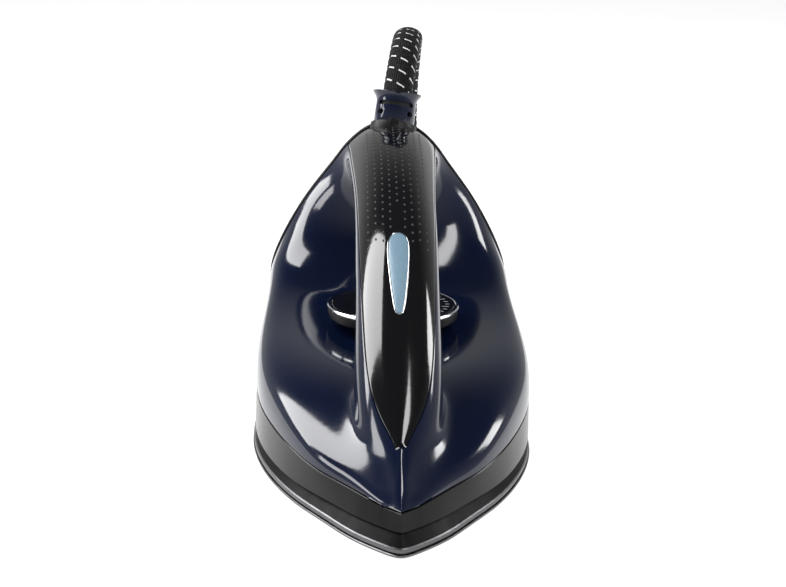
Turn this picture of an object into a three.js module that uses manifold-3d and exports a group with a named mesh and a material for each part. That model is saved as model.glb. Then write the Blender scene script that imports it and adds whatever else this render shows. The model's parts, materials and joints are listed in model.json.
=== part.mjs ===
// Clothes iron: the handpiece of a steam-generator iron, with its braided hose-and-lead and coupling.
// Millimetres, +Z up. The nose points to -Y and the heel to +Y. The origin is under the middle of the
// handpiece, on the surface that the sole rests on.
import * as THREE from "three";
import { mergeVertices } from "three/addons/utils/BufferGeometryUtils.js";
import Module from "manifold-3d";

const wasm = await Module();
wasm.setup();

// ---- driving dimensions ----
const GAP = 0.3; // running gap between neighbouring pieces
const SOLE_SHEET = 1.3; // thickness of the coated sole sheet
const RIM_TOP = 3.6; // top of the casting's upright edge
const CASTING_TOP = 8; // top face of the cast soleplate
const SHOULDER_INSET = 4.5; // how far the casting's shoulder slopes in
const SHIELD_BOTTOM = 8.4; // lower edge of the heat shield's rim
const SHIELD_INSET = 0.9; // how far the shield's rim stands in from the sole's edge at the sides
const NOSE_INSET = 3; // how much further it stands in at the nose
const DECK_BOTTOM = 12.6;
const DECK_TOP = 14.4;
const WALL = 2; // wall of the moulded shells
const HEEL_FRONT = 108.6; // front face of the rear cover
const HEEL_BACK = 116;
const HEEL_REST = 120.5; // plane that the heel pads stand on
const DIAL = { y: 29, radius: 29, bottom: 48.6, top: 56.3 };
const TRIGGER = { y: 14, z: 80.6, tilt: 22.5 * (Math.PI / 180), halfWidth: 6.8, pivot: [14, 9] };
const LENS = { y: -29, z: 85.2, tilt: 33.5 * (Math.PI / 180), length: 44, halfWidth: 4.9 };
const GLAND = { x: 0.8, y: 105.4, z: 122.6, leanBack: 20 * (Math.PI / 180), leanRight: 6 * (Math.PI / 180) };
const CORD = { width: 14, thick: 10.4 };
const HANK = { x: 11, near: 318, far: 415, bend: 42 }; // the stored cord: middle, ends of its runs, fold radius

// ---- materials ----
const finish = (color, roughness, metalness = 0) =>
  new THREE.MeshStandardMaterial({ color, roughness, metalness });
const NAVY = finish(0x10182f, 0.12);
const BLACK_GLOSS = finish(0x0b0b0d, 0.1);
const BLACK = finish(0x151517, 0.45);
const SHIELD_GREY = finish(0x3a3a3c, 0.4);
const LIGHT_BLUE = finish(0x9fbdd2, 0.35);
const CHROME = finish(0xcfd2d6, 0.12, 1);
const ALUMINIUM = finish(0x9a9a9c, 0.45, 1);
const SOLE_COAT = finish(0x77797d, 0.3, 0.8);
const STEEL = finish(0xb8b9bb, 0.35, 1);
const BRASS = finish(0xb08d4a, 0.35, 1);
const CERAMIC = finish(0xe8e4d8, 0.6);
const SILICONE = finish(0xc8553a, 0.6);
const RUBBER = finish(0x1a1a1b, 0.8);
const BOARD = finish(0x2c6b3f, 0.6);
const BRAID = finish(0x18181a, 0.85);

// ---- solids ----
const root = new THREE.Group();

/** A closed mesh as a manifold-3d solid. */
function solid(geometry) {
  const bare = geometry.clone();
  for (const name of Object.keys(bare.attributes)) if (name !== "position") bare.deleteAttribute(name);
  const merged = mergeVertices(bare, 1e-4);
  return new wasm.Manifold(
    new wasm.Mesh({
      numProp: 3,
      vertProperties: new Float32Array(merged.attributes.position.array),
      triVerts: new Uint32Array(merged.index.array),
    }),
  );
}

/** A manifold-3d solid as a geometry. */
function geometryOf(made) {
  const mesh = made.getMesh();
  return new THREE.BufferGeometry()
    .setAttribute("position", new THREE.BufferAttribute(new Float32Array(mesh.vertProperties), 3))
    .setIndex(new THREE.BufferAttribute(new Uint32Array(mesh.triVerts), 1));
}

const cut = (geometry, ...tools) => geometryOf(tools.reduce((made, tool) => made.subtract(solid(tool)), solid(geometry)));
const join = (...pieces) => geometryOf(pieces.slice(1).reduce((made, piece) => made.add(solid(piece)), solid(pieces[0])));

/** Adds a named piece to a group, in that group's own frame. */
function piece(name, geometry, material, group = root) {
  const mesh = new THREE.Mesh(geometry, material);
  mesh.name = name;
  group.add(mesh);
  return mesh;
}

/** An upright cylinder from z0 to z1 at x, y. */
function post(x, y, z0, z1, radius, sides = 12) {
  return new THREE.CylinderGeometry(radius, radius, z1 - z0, sides).rotateX(Math.PI / 2).translate(x, y, (z0 + z1) / 2);
}

/** A cylinder along Y from y0 to y1 at x, z. */
function lyingPost(x, z, y0, y1, radius, sides = 12) {
  return new THREE.CylinderGeometry(radius, radius, y1 - y0, sides).translate(x, (y0 + y1) / 2, z);
}

/** A box given by its lowest and highest corner. */
function block([x0, y0, z0], [x1, y1, z1]) {
  return new THREE.BoxGeometry(x1 - x0, y1 - y0, z1 - z0).translate((x0 + x1) / 2, (y0 + y1) / 2, (z0 + z1) / 2);
}

/** A plate with the given plan outline, from z0 to z1. */
function plate(outline, z0, z1) {
  return new THREE.ExtrudeGeometry(new THREE.Shape(outline), { depth: z1 - z0, bevelEnabled: false }).translate(0, 0, z0);
}

/** A ring turned about the Z axis from [radius, z] corners, at x, y. */
function turned(profile, x, y, sides = 24) {
  const points = profile.map(([r, z]) => new THREE.Vector2(r, z));
  return new THREE.LatheGeometry([...points, points[0]], sides).rotateX(Math.PI / 2).translate(x, y, 0);
}

/** A round tube of the given radius along a smooth curve through points. */
function tube(points, radius, sides = 8, steps = 40) {
  const path = new THREE.CatmullRomCurve3(points.map((p) => new THREE.Vector3(...p)), false, "centripetal");
  return alongPath(path, radius, sides, steps);
}

function alongPath(path, radius, sides, steps) {
  const section = new THREE.Shape(
    Array.from({ length: sides }, (_, i) => {
      const a = (i / sides) * 2 * Math.PI;
      return new THREE.Vector2(radius * Math.cos(a), radius * Math.sin(a));
    }),
  );
  return new THREE.ExtrudeGeometry(section, { steps, extrudePath: path, bevelEnabled: false, curveSegments: 1 });
}

/** A solid skinned over closed rings that wrap back to the first ring, such as a hoop with a rectangular section. */
function hoop(rings) {
  const count = rings[0].length;
  const positions = rings.flat().flatMap((p) => [p.x, p.y, p.z]);
  const index = [];
  rings.forEach((_, r) => {
    const next = (r + 1) % rings.length;
    for (let i = 0; i < count; i++) {
      const j = (i + 1) % count;
      index.push(r * count + i, r * count + j, next * count + j);
      index.push(r * count + i, next * count + j, next * count + i);
    }
  });
  return fromIndex(positions, index);
}

/** A solid skinned over stacked level rings and closed by a flat cap at each end. */
function stack(rings, flat = (p) => new THREE.Vector2(p.x, p.y)) {
  const count = rings[0].length;
  const positions = rings.flat().flatMap((p) => [p.x, p.y, p.z]);
  const index = [];
  for (let r = 0; r + 1 < rings.length; r++)
    for (let i = 0; i < count; i++) {
      const j = (i + 1) % count;
      index.push(r * count + i, r * count + j, (r + 1) * count + j);
      index.push(r * count + i, (r + 1) * count + j, (r + 1) * count + i);
    }
  const last = (rings.length - 1) * count;
  const cap = (ring) => THREE.ShapeUtils.triangulateShape(ring.map(flat), []);
  const turn = THREE.ShapeUtils.area(rings[0].map(flat)) > 0;
  for (const [a, b, c] of cap(rings[0])) index.push(...(turn ? [a, c, b] : [a, b, c]));
  for (const [a, b, c] of cap(rings.at(-1))) index.push(...(turn ? [last + a, last + b, last + c] : [last + a, last + c, last + b]));
  return fromIndex(positions, index);
}

function fromIndex(positions, index) {
  return new THREE.BufferGeometry()
    .setAttribute("position", new THREE.Float32BufferAttribute(positions, 3))
    .setIndex(index);
}

// ---- the sole's plan outline ----
// Half of the outline, [half width, y], from the nose to the middle of the heel end.
const SOLE_HALF = [
  [0, -120.5], [4.8, -118.9], [9.8, -114.6], [18.6, -104.3], [29.2, -87.2], [40, -69], [48.5, -50], [54.9, -29.6],
  [58.8, -8], [60, 15], [59.6, 42], [57.5, 68], [53.5, 88], [46.5, 98.5], [36, 103], [0, 104],
];
const soleCurve = new THREE.CatmullRomCurve3(
  [...SOLE_HALF, ...SOLE_HALF.slice(1, -1).reverse().map(([x, y]) => [-x, y])].map(([x, y]) => new THREE.Vector3(x, y, 0)),
  true,
  "centripetal",
);

/** The sole's outline drawn in by inset, as points at height z. */
function soleRing(inset, z, count = 72) {
  return Array.from({ length: count }, (_, i) => {
    const p = soleCurve.getPointAt(i / count);
    const t = soleCurve.getTangentAt(i / count);
    return new THREE.Vector3(p.x - t.y * inset, p.y + t.x * inset, z);
  });
}

// ---- the body's control cage ----
// Eleven rails run from nose to heel on the right-hand side: a the lower seam, b the side wall, c the shoulder,
// d the deck, e the middle of the deck, f the grip's underside, g and h its side, i the seam of the black grip
// cover, j the crown's flank, k the crown. Each row is one station, and each entry is [x, y, z].
const CAGE = [
  [[5.8, -109.8, 16], [5.3, -110.4, 16], [4.8, -111, 16], [4.3, -111.6, 16], [3.8, -112.1, 16], [3.3, -112.6, 16],
   [2.7, -113, 16], [2.1, -113.4, 16], [1.5, -113.7, 16], [0.8, -113.9, 16], [0, -114, 16]],
  [[8.8, -106.5, 16.5], [8, -107.2, 17], [7.1, -107.7, 17.5], [6, -108.2, 18], [4.8, -108.6, 18.5], [3.7, -109, 19],
   [2.8, -109.3, 19.5], [2, -109.6, 19.9], [1.3, -109.8, 20.2], [0.7, -109.9, 20.4], [0, -110, 20.5]],
  [[15, -99, 17.2], [14, -99.7, 18.8], [12.2, -100.5, 19.8], [10, -101.3, 20.6], [7.6, -102, 21.6], [5.6, -102.6, 22.6],
   [4, -103, 23.8], [2.7, -103.2, 25], [1.7, -103.4, 25.8], [0.9, -103.5, 26.3], [0, -103.5, 26.5]],
  [[22, -91, 18.2], [21, -91.3, 20.8], [18.5, -92, 22.8], [14.5, -92.8, 24.4], [10.8, -93.6, 26.3], [7.8, -94.2, 28.3],
   [5.2, -94.6, 30.5], [3, -94.8, 32.4], [1.2, -95, 33.4], [0.6, -95, 33.7], [0, -95, 33.8]],
  [[30.8, -82, 19.3], [30.2, -82, 22.5], [27.5, -82.2, 25], [23, -82.6, 26.6], [19, -83, 28], [16, -83.4, 30],
   [14, -83.6, 32.8], [12, -83.8, 36.8], [9, -84, 40.6], [4.8, -84, 42.8], [0, -84, 43.5]],
  [[38.6, -69, 20.8], [38, -69, 26.5], [34, -68.5, 30.2], [26.5, -68, 32.4], [21, -67.5, 33.8], [18, -67.5, 36.2],
   [17.4, -68, 40.5], [16.4, -68.5, 46], [12.8, -69.3, 51.2], [7, -69.8, 54], [0, -70, 55]],
  [[45.6, -54, 22.2], [45.2, -54, 30.5], [39.5, -53, 35.8], [27, -52, 38.6], [20, -50, 40.8], [17.8, -48, 44.5],
   [17.8, -47, 50], [17.9, -48, 57.4], [14.4, -52, 63], [8.3, -54.6, 65.9], [0, -55, 67]],
  [[51.6, -37, 23.6], [51.4, -37, 33.5], [45, -37.5, 40], [26, -38, 42], [0, -40, 44.5], [0, -29, 55],
   [14.8, -27, 61], [18, -30.5, 68.2], [15.6, -34.6, 74.5], [8.9, -37.4, 78.3], [0, -38, 79.5]],
  [[56.4, -19, 25], [56.5, -19, 36.3], [50, -19.5, 43.2], [28, -20, 44], [0, -21, 43.8], [0, -7.2, 68.9],
   [12.9, -8.8, 71.6], [18, -12.5, 78], [16.5, -16.2, 84.5], [9.3, -19.3, 89.8], [0, -20, 91]],
  [[58.6, 2, 27], [59, 2, 38.6], [53, 3, 45.6], [28.5, 3, 44.8], [0, 3, 43.8], [0, 11, 79.5],
   [12.9, 9.9, 81.8], [17.8, 7.2, 87.2], [17.4, 4.2, 93.5], [9.7, 0.8, 100.6], [0, 0, 102]],
  [[59.2, 27, 29.5], [59.3, 27, 41], [53.4, 28, 47.6], [29, 28, 45.6], [0, 28, 44.5], [0, 30.1, 87.4],
   [12.4, 29.4, 89.4], [17.4, 27.9, 94], [18.2, 25.7, 100.1], [10, 22.7, 109.6], [0, 22, 111]],
  [[58.8, 50, 32], [58.4, 50, 43.5], [53.2, 51, 50.6], [30, 51, 47], [0, 52, 45.8], [0, 51.2, 93],
   [12.4, 50.8, 95], [17.8, 49.8, 99.4], [19.4, 48.6, 105.3], [10.8, 46.4, 116], [0, 46, 117.5]],
  [[58, 70, 35], [57.4, 70, 46.3], [53, 69, 54], [32.5, 70, 51.5], [0, 71, 50.5], [0, 71.2, 95.2],
   [13.4, 70.8, 97.7], [19.2, 70.2, 102.6], [20.6, 69.5, 108.3], [11.5, 68.2, 119.5], [0, 68, 121]],
  [[57.3, 87, 38], [57, 86, 49.3], [53.2, 84.5, 57.6], [36.5, 83, 60.8], [0, 83.5, 70], [0, 84.5, 88.5],
   [15.5, 85.5, 97.8], [20, 87, 104.4], [21.4, 88.5, 110.6], [12, 88, 121.3], [0, 88, 123]],
  [[56.8, 100, 40.5], [57.8, 98, 51.5], [52.5, 96.5, 62.5], [42.5, 95.5, 71.5], [35.5, 95.5, 81], [30, 96, 90],
   [26, 97, 98], [22.8, 98, 104.5], [21.6, 99.5, 111.4], [12.2, 100.5, 121], [0, 101, 123.6]],
  [[56.5, 108, 42], [56.4, 108, 53], [51.8, 108, 65], [45.5, 108, 77], [40, 108, 86], [35, 108, 93],
   [30, 108, 99.5], [25.5, 108, 105.5], [21.8, 108, 111.2], [12.2, 108, 120.6], [0, 108, 123.6]],
];
const RAIL = { e: 4, f: 5, i: 8 };
const OPENING = { first: 7, last: 13 }; // stations between which the hand opening parts deck and grip
const COVER_TIP = 3; // station at the front tip of the grip cover

/** The cage as one mesh of both sides: points, and faces that each say which shell they belong to. */
function cageMesh() {
  const points = [];
  const at = CAGE.map((row) =>
    row.map(([x, y, z]) => {
      points.push(new THREE.Vector3(x, y, z));
      if (x === 0) return [points.length - 1, points.length - 1];
      points.push(new THREE.Vector3(-x, y, z));
      return [points.length - 2, points.length - 1];
    }),
  );
  const faces = [];
  for (let s = 0; s + 1 < CAGE.length; s++)
    for (let r = 0; r + 1 < CAGE[0].length; r++) {
      if (r === RAIL.e && s >= OPENING.first && s < OPENING.last) continue;
      const shell = r >= RAIL.i && s >= COVER_TIP ? "grip_cover" : "main_shell";
      const corners = [at[s][r], at[s + 1][r], at[s + 1][r + 1], at[s][r + 1]];
      faces.push({ shell, v: corners.map((c) => c[0]) });
      faces.push({ shell, v: corners.map((c) => c[1]).reverse() });
    }
  return { points, faces };
}

/** One step of Catmull-Clark subdivision. */
function subdivide({ points, faces }) {
  const middle = (list) => list.reduce((sum, p) => sum.add(p), new THREE.Vector3()).divideScalar(list.length);
  const facePoints = faces.map((f) => middle(f.v.map((i) => points[i])));
  const edges = new Map();
  const edgeOf = (a, b) => edges.get(a < b ? `${a},${b}` : `${b},${a}`);
  faces.forEach((f, n) =>
    f.v.forEach((a, i) => {
      const b = f.v[(i + 1) % 4];
      const key = a < b ? `${a},${b}` : `${b},${a}`;
      if (!edges.has(key)) edges.set(key, { ends: [a, b], faces: [] });
      edges.get(key).faces.push(n);
    }),
  );
  const around = points.map(() => ({ faces: [], edges: [] }));
  faces.forEach((f, n) => f.v.forEach((i) => around[i].faces.push(n)));
  for (const e of edges.values()) e.ends.forEach((i) => around[i].edges.push(e));
  const moved = points.map((p, i) => {
    const rim = around[i].edges.filter((e) => e.faces.length === 1);
    const across = (e) => points[e.ends[0] === i ? e.ends[1] : e.ends[0]];
    if (rim.length) return p.clone().multiplyScalar(6).add(across(rim[0])).add(across(rim[1])).divideScalar(8);
    const n = around[i].faces.length;
    const q = middle(around[i].faces.map((f) => facePoints[f]));
    const r = middle(around[i].edges.map((e) => middle([p, across(e)])));
    return q.add(r.multiplyScalar(2)).add(p.clone().multiplyScalar(n - 3)).divideScalar(n);
  });
  const made = [...moved, ...facePoints];
  for (const e of edges.values()) {
    e.index = made.length;
    const ends = e.ends.map((i) => points[i]);
    made.push(middle(e.faces.length === 1 ? ends : [...ends, ...e.faces.map((f) => facePoints[f])]));
  }
  return {
    points: made,
    faces: faces.flatMap((f, n) =>
      f.v.map((a, i) => ({
        shell: f.shell,
        v: [a, edgeOf(a, f.v[(i + 1) % 4]).index, points.length + n, edgeOf(f.v[(i + 3) % 4], a).index],
      })),
    ),
  };
}

/** The faces of one shell, thickened inwards to a closed solid with its free edges drawn in by half a gap. */
function thicken({ points, faces }, shell, wall) {
  const normals = points.map(() => new THREE.Vector3());
  const cross = (f) =>
    new THREE.Vector3()
      .subVectors(points[f.v[2]], points[f.v[0]])
      .cross(new THREE.Vector3().subVectors(points[f.v[3]], points[f.v[1]]));
  for (const f of faces) f.v.forEach((i) => normals[i].add(cross(f)));
  normals.forEach((n) => n.normalize());
  const mine = faces.filter((f) => f.shell === shell);
  const sides = new Map();
  for (const f of mine)
    f.v.forEach((a, i) => {
      const b = f.v[(i + 1) % 4];
      if (!sides.delete(`${b},${a}`)) sides.set(`${a},${b}`, [a, b]);
    });
  const free = new Set([...sides.values()].flat());
  const used = [...new Set(mine.flatMap((f) => f.v))];
  const place = new Map(used.map((i, n) => [i, n]));
  const pull = new Map([...free].map((i) => [i, new THREE.Vector3()]));
  for (const f of mine) {
    const centre = f.v.reduce((sum, i) => sum.add(points[i]), new THREE.Vector3()).divideScalar(4);
    f.v.filter((i) => free.has(i)).forEach((i) => pull.get(i).add(new THREE.Vector3().subVectors(centre, points[i])));
  }
  const outer = used.map((i) => {
    if (!free.has(i)) return points[i].clone();
    const along = pull.get(i).projectOnPlane(normals[i]).normalize();
    return points[i].clone().addScaledVector(along, GAP / 2 + 0.05);
  });
  const inner = used.map((i, n) => outer[n].clone().addScaledVector(normals[i], -wall));
  const index = [];
  const quad = (a, b, c, d) => index.push(a, b, c, a, c, d);
  for (const f of mine) {
    const [a, b, c, d] = f.v.map((i) => place.get(i));
    quad(a, b, c, d);
    quad(d + used.length, c + used.length, b + used.length, a + used.length);
  }
  for (const [a, b] of sides.values()) {
    const [p, q] = [place.get(a), place.get(b)];
    quad(q, p, p + used.length, q + used.length);
  }
  return fromIndex([...outer, ...inner].flatMap((p) => [p.x, p.y, p.z]), index);
}


const skin = subdivide(cageMesh());

/** The skin's one free edge, walked once round from the right-hand heel corner by way of the nose. */
function freeEdge() {
  const sides = new Map();
  for (const f of skin.faces)
    f.v.forEach((a, i) => {
      const b = f.v[(i + 1) % 4];
      if (!sides.delete(`${b},${a}`)) sides.set(`${a},${b}`, [a, b]);
    });
  const next = new Map(sides.values());
  const loop = [next.keys().next().value];
  while (next.get(loop.at(-1)) !== loop[0]) loop.push(next.get(loop.at(-1)));
  return loop.map((i) => skin.points[i]);
}

const edge = freeEdge();
const isArch = (p) => p.y > 107.6;
const firstSeam = edge.findIndex((p, i) => !isArch(p) && isArch(edge.at(i - 1)));
const walked = [...edge.slice(firstSeam), ...edge.slice(0, firstSeam)];
const seam = walked.filter((p) => !isArch(p));
const arch = walked.filter(isArch);

/** Height of the crown of the grip at y. */
function crown(y) {
  const middle = skin.points.filter((p) => Math.abs(p.x) < 1e-6);
  const line = middle
    .filter((p) => !middle.some((q) => Math.abs(q.y - p.y) < 7 && q.z > p.z + 9))
    .sort((p, q) => p.y - q.y);
  const i = Math.max(1, Math.min(line.length - 1, line.findIndex((p) => p.y > y)));
  return THREE.MathUtils.mapLinear(y, line[i - 1].y, line[i].y, line[i - 1].z, line[i].z);
}

/** The same geometry with its faces turned outwards. */
function outward(geometry) {
  const p = geometry.attributes.position;
  const at = (i) => new THREE.Vector3().fromBufferAttribute(p, i);
  const index = Array.from(geometry.index.array);
  let volume = 0;
  for (let i = 0; i < index.length; i += 3) volume += at(index[i]).dot(at(index[i + 1]).cross(at(index[i + 2])));
  if (volume < 0) index.reverse();
  return geometry.setIndex(index);
}

/** Points at equal steps round a closed curve through corners. */
const closed = (corners, count) =>
  new THREE.CatmullRomCurve3(corners.map(([x, y]) => new THREE.Vector3(x, y, 0)), true, "centripetal")
    .getSpacedPoints(count)
    .slice(0, -1)
    .map((p) => new THREE.Vector2(p.x, p.y));

const mirrored = (half) => [...half, ...half.slice(1, -1).reverse().map(([x, y]) => [-x, y])];

/** A screw with a domed head, its axis upright, the underside of its head at z. */
const screw = (x, y, z, { shank = 1.3, head = 2.4, rise = 1.5, depth = 5 } = {}) =>
  turned([[0, z - depth], [shank, z - depth], [shank, z], [head, z], [head * 0.8, z + rise], [0, z + rise]], x, y, 10);

// ---- sole: coated sheet, casting, steam chamber, heater ----
const HOLES = [
  [0, -85], [0, -76], [0, -67],
  ...[[4, -79], [7.5, -70], [11.5, -61], [15, -52], [18, -43], [20.5, -34], [22.5, -25], [23.5, -16]].flatMap(
    ([x, y]) => [[x, y], [-x, y]],
  ),
];
const COVER = [[0, -98], [7, -88], [19, -68], [29, -44], [35, -20], [35, -8], [30, -4], [0, -4]];
const POCKET = COVER.map(([x, y]) => [x * 0.8, y * 0.88 - 4]);
const ELEMENT = [
  [-21, 92, 22], [-21, 92, 13], [-22, 88, 8.6], [-27, 80, 7.6], [-40, 58, 7.6], [-45, 25, 7.6], [-43.5, -10, 7.6],
  [-38, -44, 7.6], [-24, -76, 7.6], [-10, -99.5, 7.6], [0, -105, 7.6], [10, -99.5, 7.6], [24, -76, 7.6], [38, -44, 7.6],
  [43.5, -10, 7.6], [45, 25, 7.6], [40, 58, 7.6], [27, 80, 7.6], [22, 88, 8.6], [21, 92, 13], [21, 92, 22],
];
const CHAMBER_SCREWS = [[0, -94.3], [31, -8.7], [-31, -8.7]];
const SHIELD_SCREWS = [[29, 14], [-29, 14], [0, 78]];
const BRACKET_SCREWS = [[12.5, 29], [-12.5, 29]];

const sheetShape = new THREE.Shape(soleRing(0, 0).map((p) => new THREE.Vector2(p.x, p.y)));
sheetShape.holes = HOLES.map(([x, y]) => new THREE.Path().absarc(x, y, 1.2, 0, 2 * Math.PI));
piece("sole_sheet", new THREE.ExtrudeGeometry(sheetShape, { depth: SOLE_SHEET, bevelEnabled: false, curveSegments: 3 }), SOLE_COAT);

const castingRings = [
  [0.9, SOLE_SHEET + GAP], [0.5, 2.2], [0.5, RIM_TOP], [SHOULDER_INSET, CASTING_TOP],
].map(([inset, z]) => soleRing(inset, z));
piece(
  "soleplate",
  cut(
    join(outward(stack(castingRings)), ...SHIELD_SCREWS.map(([x, y]) => post(x, y, 7, DECK_BOTTOM - GAP, 4, 10))),
    plate(closed(mirrored(POCKET), 28), 3.6, CASTING_TOP + 1),
    tube(ELEMENT, 3.75, 8, 36),
    ...HOLES.map(([x, y]) => post(x, y, 0, 5, 1.2, 5)),
    ...[...CHAMBER_SCREWS, ...BRACKET_SCREWS, [25.2, 64], [30, 47]].map(([x, y]) => post(x, y, 3.6, 9, 1.6, 6)),
    ...SHIELD_SCREWS.map(([x, y]) => post(x, y, 7.5, 13, 1.6, 6)),
  ),
  ALUMINIUM,
);
piece("heating_element", tube(ELEMENT, 3.3, 8, 36), STEEL);
piece(
  "chamber_cover",
  cut(
    plate(closed(mirrored(COVER), 28), CASTING_TOP + GAP, 9.5),
    post(0, -30, 8, 10, 3, 12),
    ...CHAMBER_SCREWS.map(([x, y]) => post(x, y, 8, 10, 1.6, 8)),
  ),
  ALUMINIUM,
);
CHAMBER_SCREWS.forEach(([x, y], i) => piece(`chamber_screw_${i + 1}`, screw(x, y, 9.8, { rise: 1.3 }), STEEL));
piece("steam_inlet", turned([[1.6, 9.8], [5.4, 9.8], [5.4, 11.4], [2.8, 12], [2.8, 20], [1.6, 20]], 0, -30, 12), BRASS);

// ---- thermostat, thermal fuse, earth tag ----
piece(
  "thermostat_bracket",
  cut(block([-16, 24, 8.3], [16, 34, 9.5]), ...BRACKET_SCREWS.map(([x, y]) => post(x, y, 8, 10, 1.6, 8))),
  STEEL,
);
BRACKET_SCREWS.forEach(([x, y], i) => piece(`bracket_screw_${i + 1}`, screw(x, y, 9.8, { rise: 1.2 }), STEEL));
piece(
  "thermostat",
  join(
    turned([[0, 9.8], [9.4, 9.8], [9.4, 19.5], [6, 22], [0, 22]], 0, 29, 20),
    block([3.5, 36, 15], [6.5, 46, 16]),
    block([-6.5, 36, 15], [-3.5, 46, 16]),
  ),
  CERAMIC,
);
piece("thermal_fuse", lyingPost(20, 9.9, 55, 73, 1.4, 8), CERAMIC);
piece(
  "fuse_clip",
  cut(
    join(
      block([17.2, 62, 8.3], [22.8, 66, 12.3]),
      block([22.4, 62, 8.3], [28, 66, 9.4]),
      post(25.2, 64, 4.2, 10.6, 1.3, 8),
    ),
    lyingPost(20, 9.9, 60, 68, 1.75, 10),
  ),
  STEEL,
);
piece("earth_tag", join(block([26.5, 43.5, 8.3], [33.5, 50.5, 9.4]), post(30, 47, 4.2, 10.6, 1.3, 8)), BRASS);

// ---- heat shield: the rim seen under the body, with its deck and heel pillars ----
/** Inset of the shield's lower edge from the sole's edge at y. */
const shieldInset = (y) => SHIELD_INSET + NOSE_INSET * THREE.MathUtils.smoothstep(-y, 55, 121);

function shieldSections() {
  const fine = soleRing(0, SHIELD_BOTTOM, 360).map((p, i, all) => {
    const t = new THREE.Vector3().subVectors(all[(i + 1) % all.length], all.at(i - 1)).normalize();
    return p.clone().addScaledVector(new THREE.Vector3(-t.y, t.x, 0), shieldInset(p.y));
  });
  const nearest = (p) => {
    let best = 0;
    fine.forEach((q, i) => {
      if ((q.x - p.x) ** 2 + (q.y - p.y) ** 2 < (fine[best].x - p.x) ** 2 + (fine[best].y - p.y) ** 2) best = i;
    });
    return best;
  };
  // the wall's top follows the body's seam, then closes across the heel
  const sides = seam.filter((p, i) => i === seam.length - 1 || i % 2 === 0 || Math.abs(p.x) < 1e-6);
  const tops = sides.map((p) => new THREE.Vector3(p.x, p.y, p.z - GAP - 0.25));
  const bottoms = sides.map((p) => fine[nearest(p)]);
  const rightHand = sides[0].x > 0;
  const [from, to] = [nearest(sides.at(-1)), nearest(sides[0])];
  const span = rightHand ? -((from - to + fine.length) % fine.length) : (to - from + fine.length) % fine.length;
  const across = 10;
  for (let i = 1; i < across; i++) {
    const u = i / across;
    tops.push(new THREE.Vector3().lerpVectors(tops[sides.length - 1], tops[0], u).setY(107.6));
    bottoms.push(fine[(from + Math.round(span * u) + fine.length) % fine.length]);
  }
  const inwards = (line, i) => {
    const t = new THREE.Vector3().subVectors(line[(i + 1) % line.length], line.at(i - 1)).setZ(0).normalize();
    return new THREE.Vector3(t.y, -t.x, 0).multiplyScalar(rightHand ? 1 : -1);
  };
  return tops.map((top, i) => ({ top, bottom: bottoms[i], in: inwards(tops, i) }));
}

const shield = shieldSections();
const shieldRings = shield.map(({ top, bottom, in: n }) => [
  bottom, top, top.clone().addScaledVector(n, WALL).setZ(top.z - 1.8), bottom.clone().addScaledVector(n, WALL),
]);
const deckOutline = shield.map(({ top, bottom, in: n }) => {
  const p = bottom.clone().lerp(top, (13.5 - SHIELD_BOTTOM) / (top.z - SHIELD_BOTTOM)).addScaledVector(n, 1);
  return new THREE.Vector2(p.x, p.y);
});
const rectangle = (x0, x1, y0, y1, z) =>
  [[x0, y0], [x1, y0], [x1, y1], [x0, y1]].map(([x, y]) => new THREE.Vector3(x, y, z));
const pillar = (x) =>
  outward(stack([
    rectangle(x - 4, x + 4, 93, 100, 13.5), rectangle(x - 4, x + 4, 96, 104.5, 42), rectangle(x - 4, x + 4, 98, 107.8, 64),
  ]));
const HEEL_SCREWS = [-35, 35];
piece(
  "heat_shield",
  cut(
    join(outward(hoop(shieldRings)), plate(deckOutline, DECK_BOTTOM, DECK_TOP), ...HEEL_SCREWS.map(pillar)),
    post(0, 29, 10, 16, 16.8, 24),
    post(0, -30, 10, 16, 6, 12),
    ...[21, -21].flatMap((x) => [post(x, 92, 10, 16, 4.6, 10), post(x * 1.03, 88, 10, 16, 4.6, 10)]),
    post(28.5, 55, 10, 16, 4, 10),
    ...SHIELD_SCREWS.map(([x, y]) => post(x, y, 10, 16, 1.6, 6)),
    ...HEEL_SCREWS.map((x) => lyingPost(x, 59.5, 97, 109, 1.6, 6)),
  ),
  SHIELD_GREY,
);
SHIELD_SCREWS.forEach(([x, y], i) => piece(`shield_screw_${i + 1}`, screw(x, y, DECK_TOP + GAP, { depth: 6 }), STEEL));

// ---- lens group: window, bezel, lamp ----
const lensFrame = new THREE.Group();
lensFrame.position.set(0, LENS.y, LENS.z);
lensFrame.rotation.x = LENS.tilt;
root.add(lensFrame);
lensFrame.updateMatrixWorld(true);

/** Height of the crown above the lens frame's plane, at y along that plane. */
function crownOverLens(y) {
  const [s, c] = [Math.sin(LENS.tilt), Math.cos(LENS.tilt)];
  let h = 0;
  for (let n = 0; n < 12; n++) {
    const worldY = LENS.y + y * c - h * s;
    h += (crown(worldY) - (LENS.z + y * s + h * c)) * 0.8;
  }
  return h;
}

const TEARDROP = [
  [0, -22], [1.3, -21.3], [2.1, -18.6], [3, -13.2], [3.9, -6], [4.6, 2], [4.9, 9], [4.8, 14.4], [4.1, 18.4], [2.5, 21.1], [0, 22],
];
const drop = closed(mirrored(TEARDROP), 24);
/** The teardrop grown outwards by a margin, each point on the crown with the given rise. */
const dropRing = (margin, rise) =>
  drop.map((p, i) => {
    const t = new THREE.Vector2().subVectors(drop[(i + 1) % drop.length], drop.at(i - 1)).normalize();
    const [x, y] = [p.x + t.y * margin, p.y - t.x * margin];
    return new THREE.Vector3(x, y, crownOverLens(y) - 0.004 * x * x + rise);
  });
const bezelRings = (() => {
  const [low0, low1, high1, high0] = [dropRing(1, -2.4), dropRing(1, 0.15), dropRing(0.35, 0.25), dropRing(0.35, -2.4)];
  return drop.map((_, i) => [low0[i], low1[i], high1[i], high0[i]]);
})();
piece("lens_bezel", outward(hoop(bezelRings)), CHROME, lensFrame);

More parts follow.
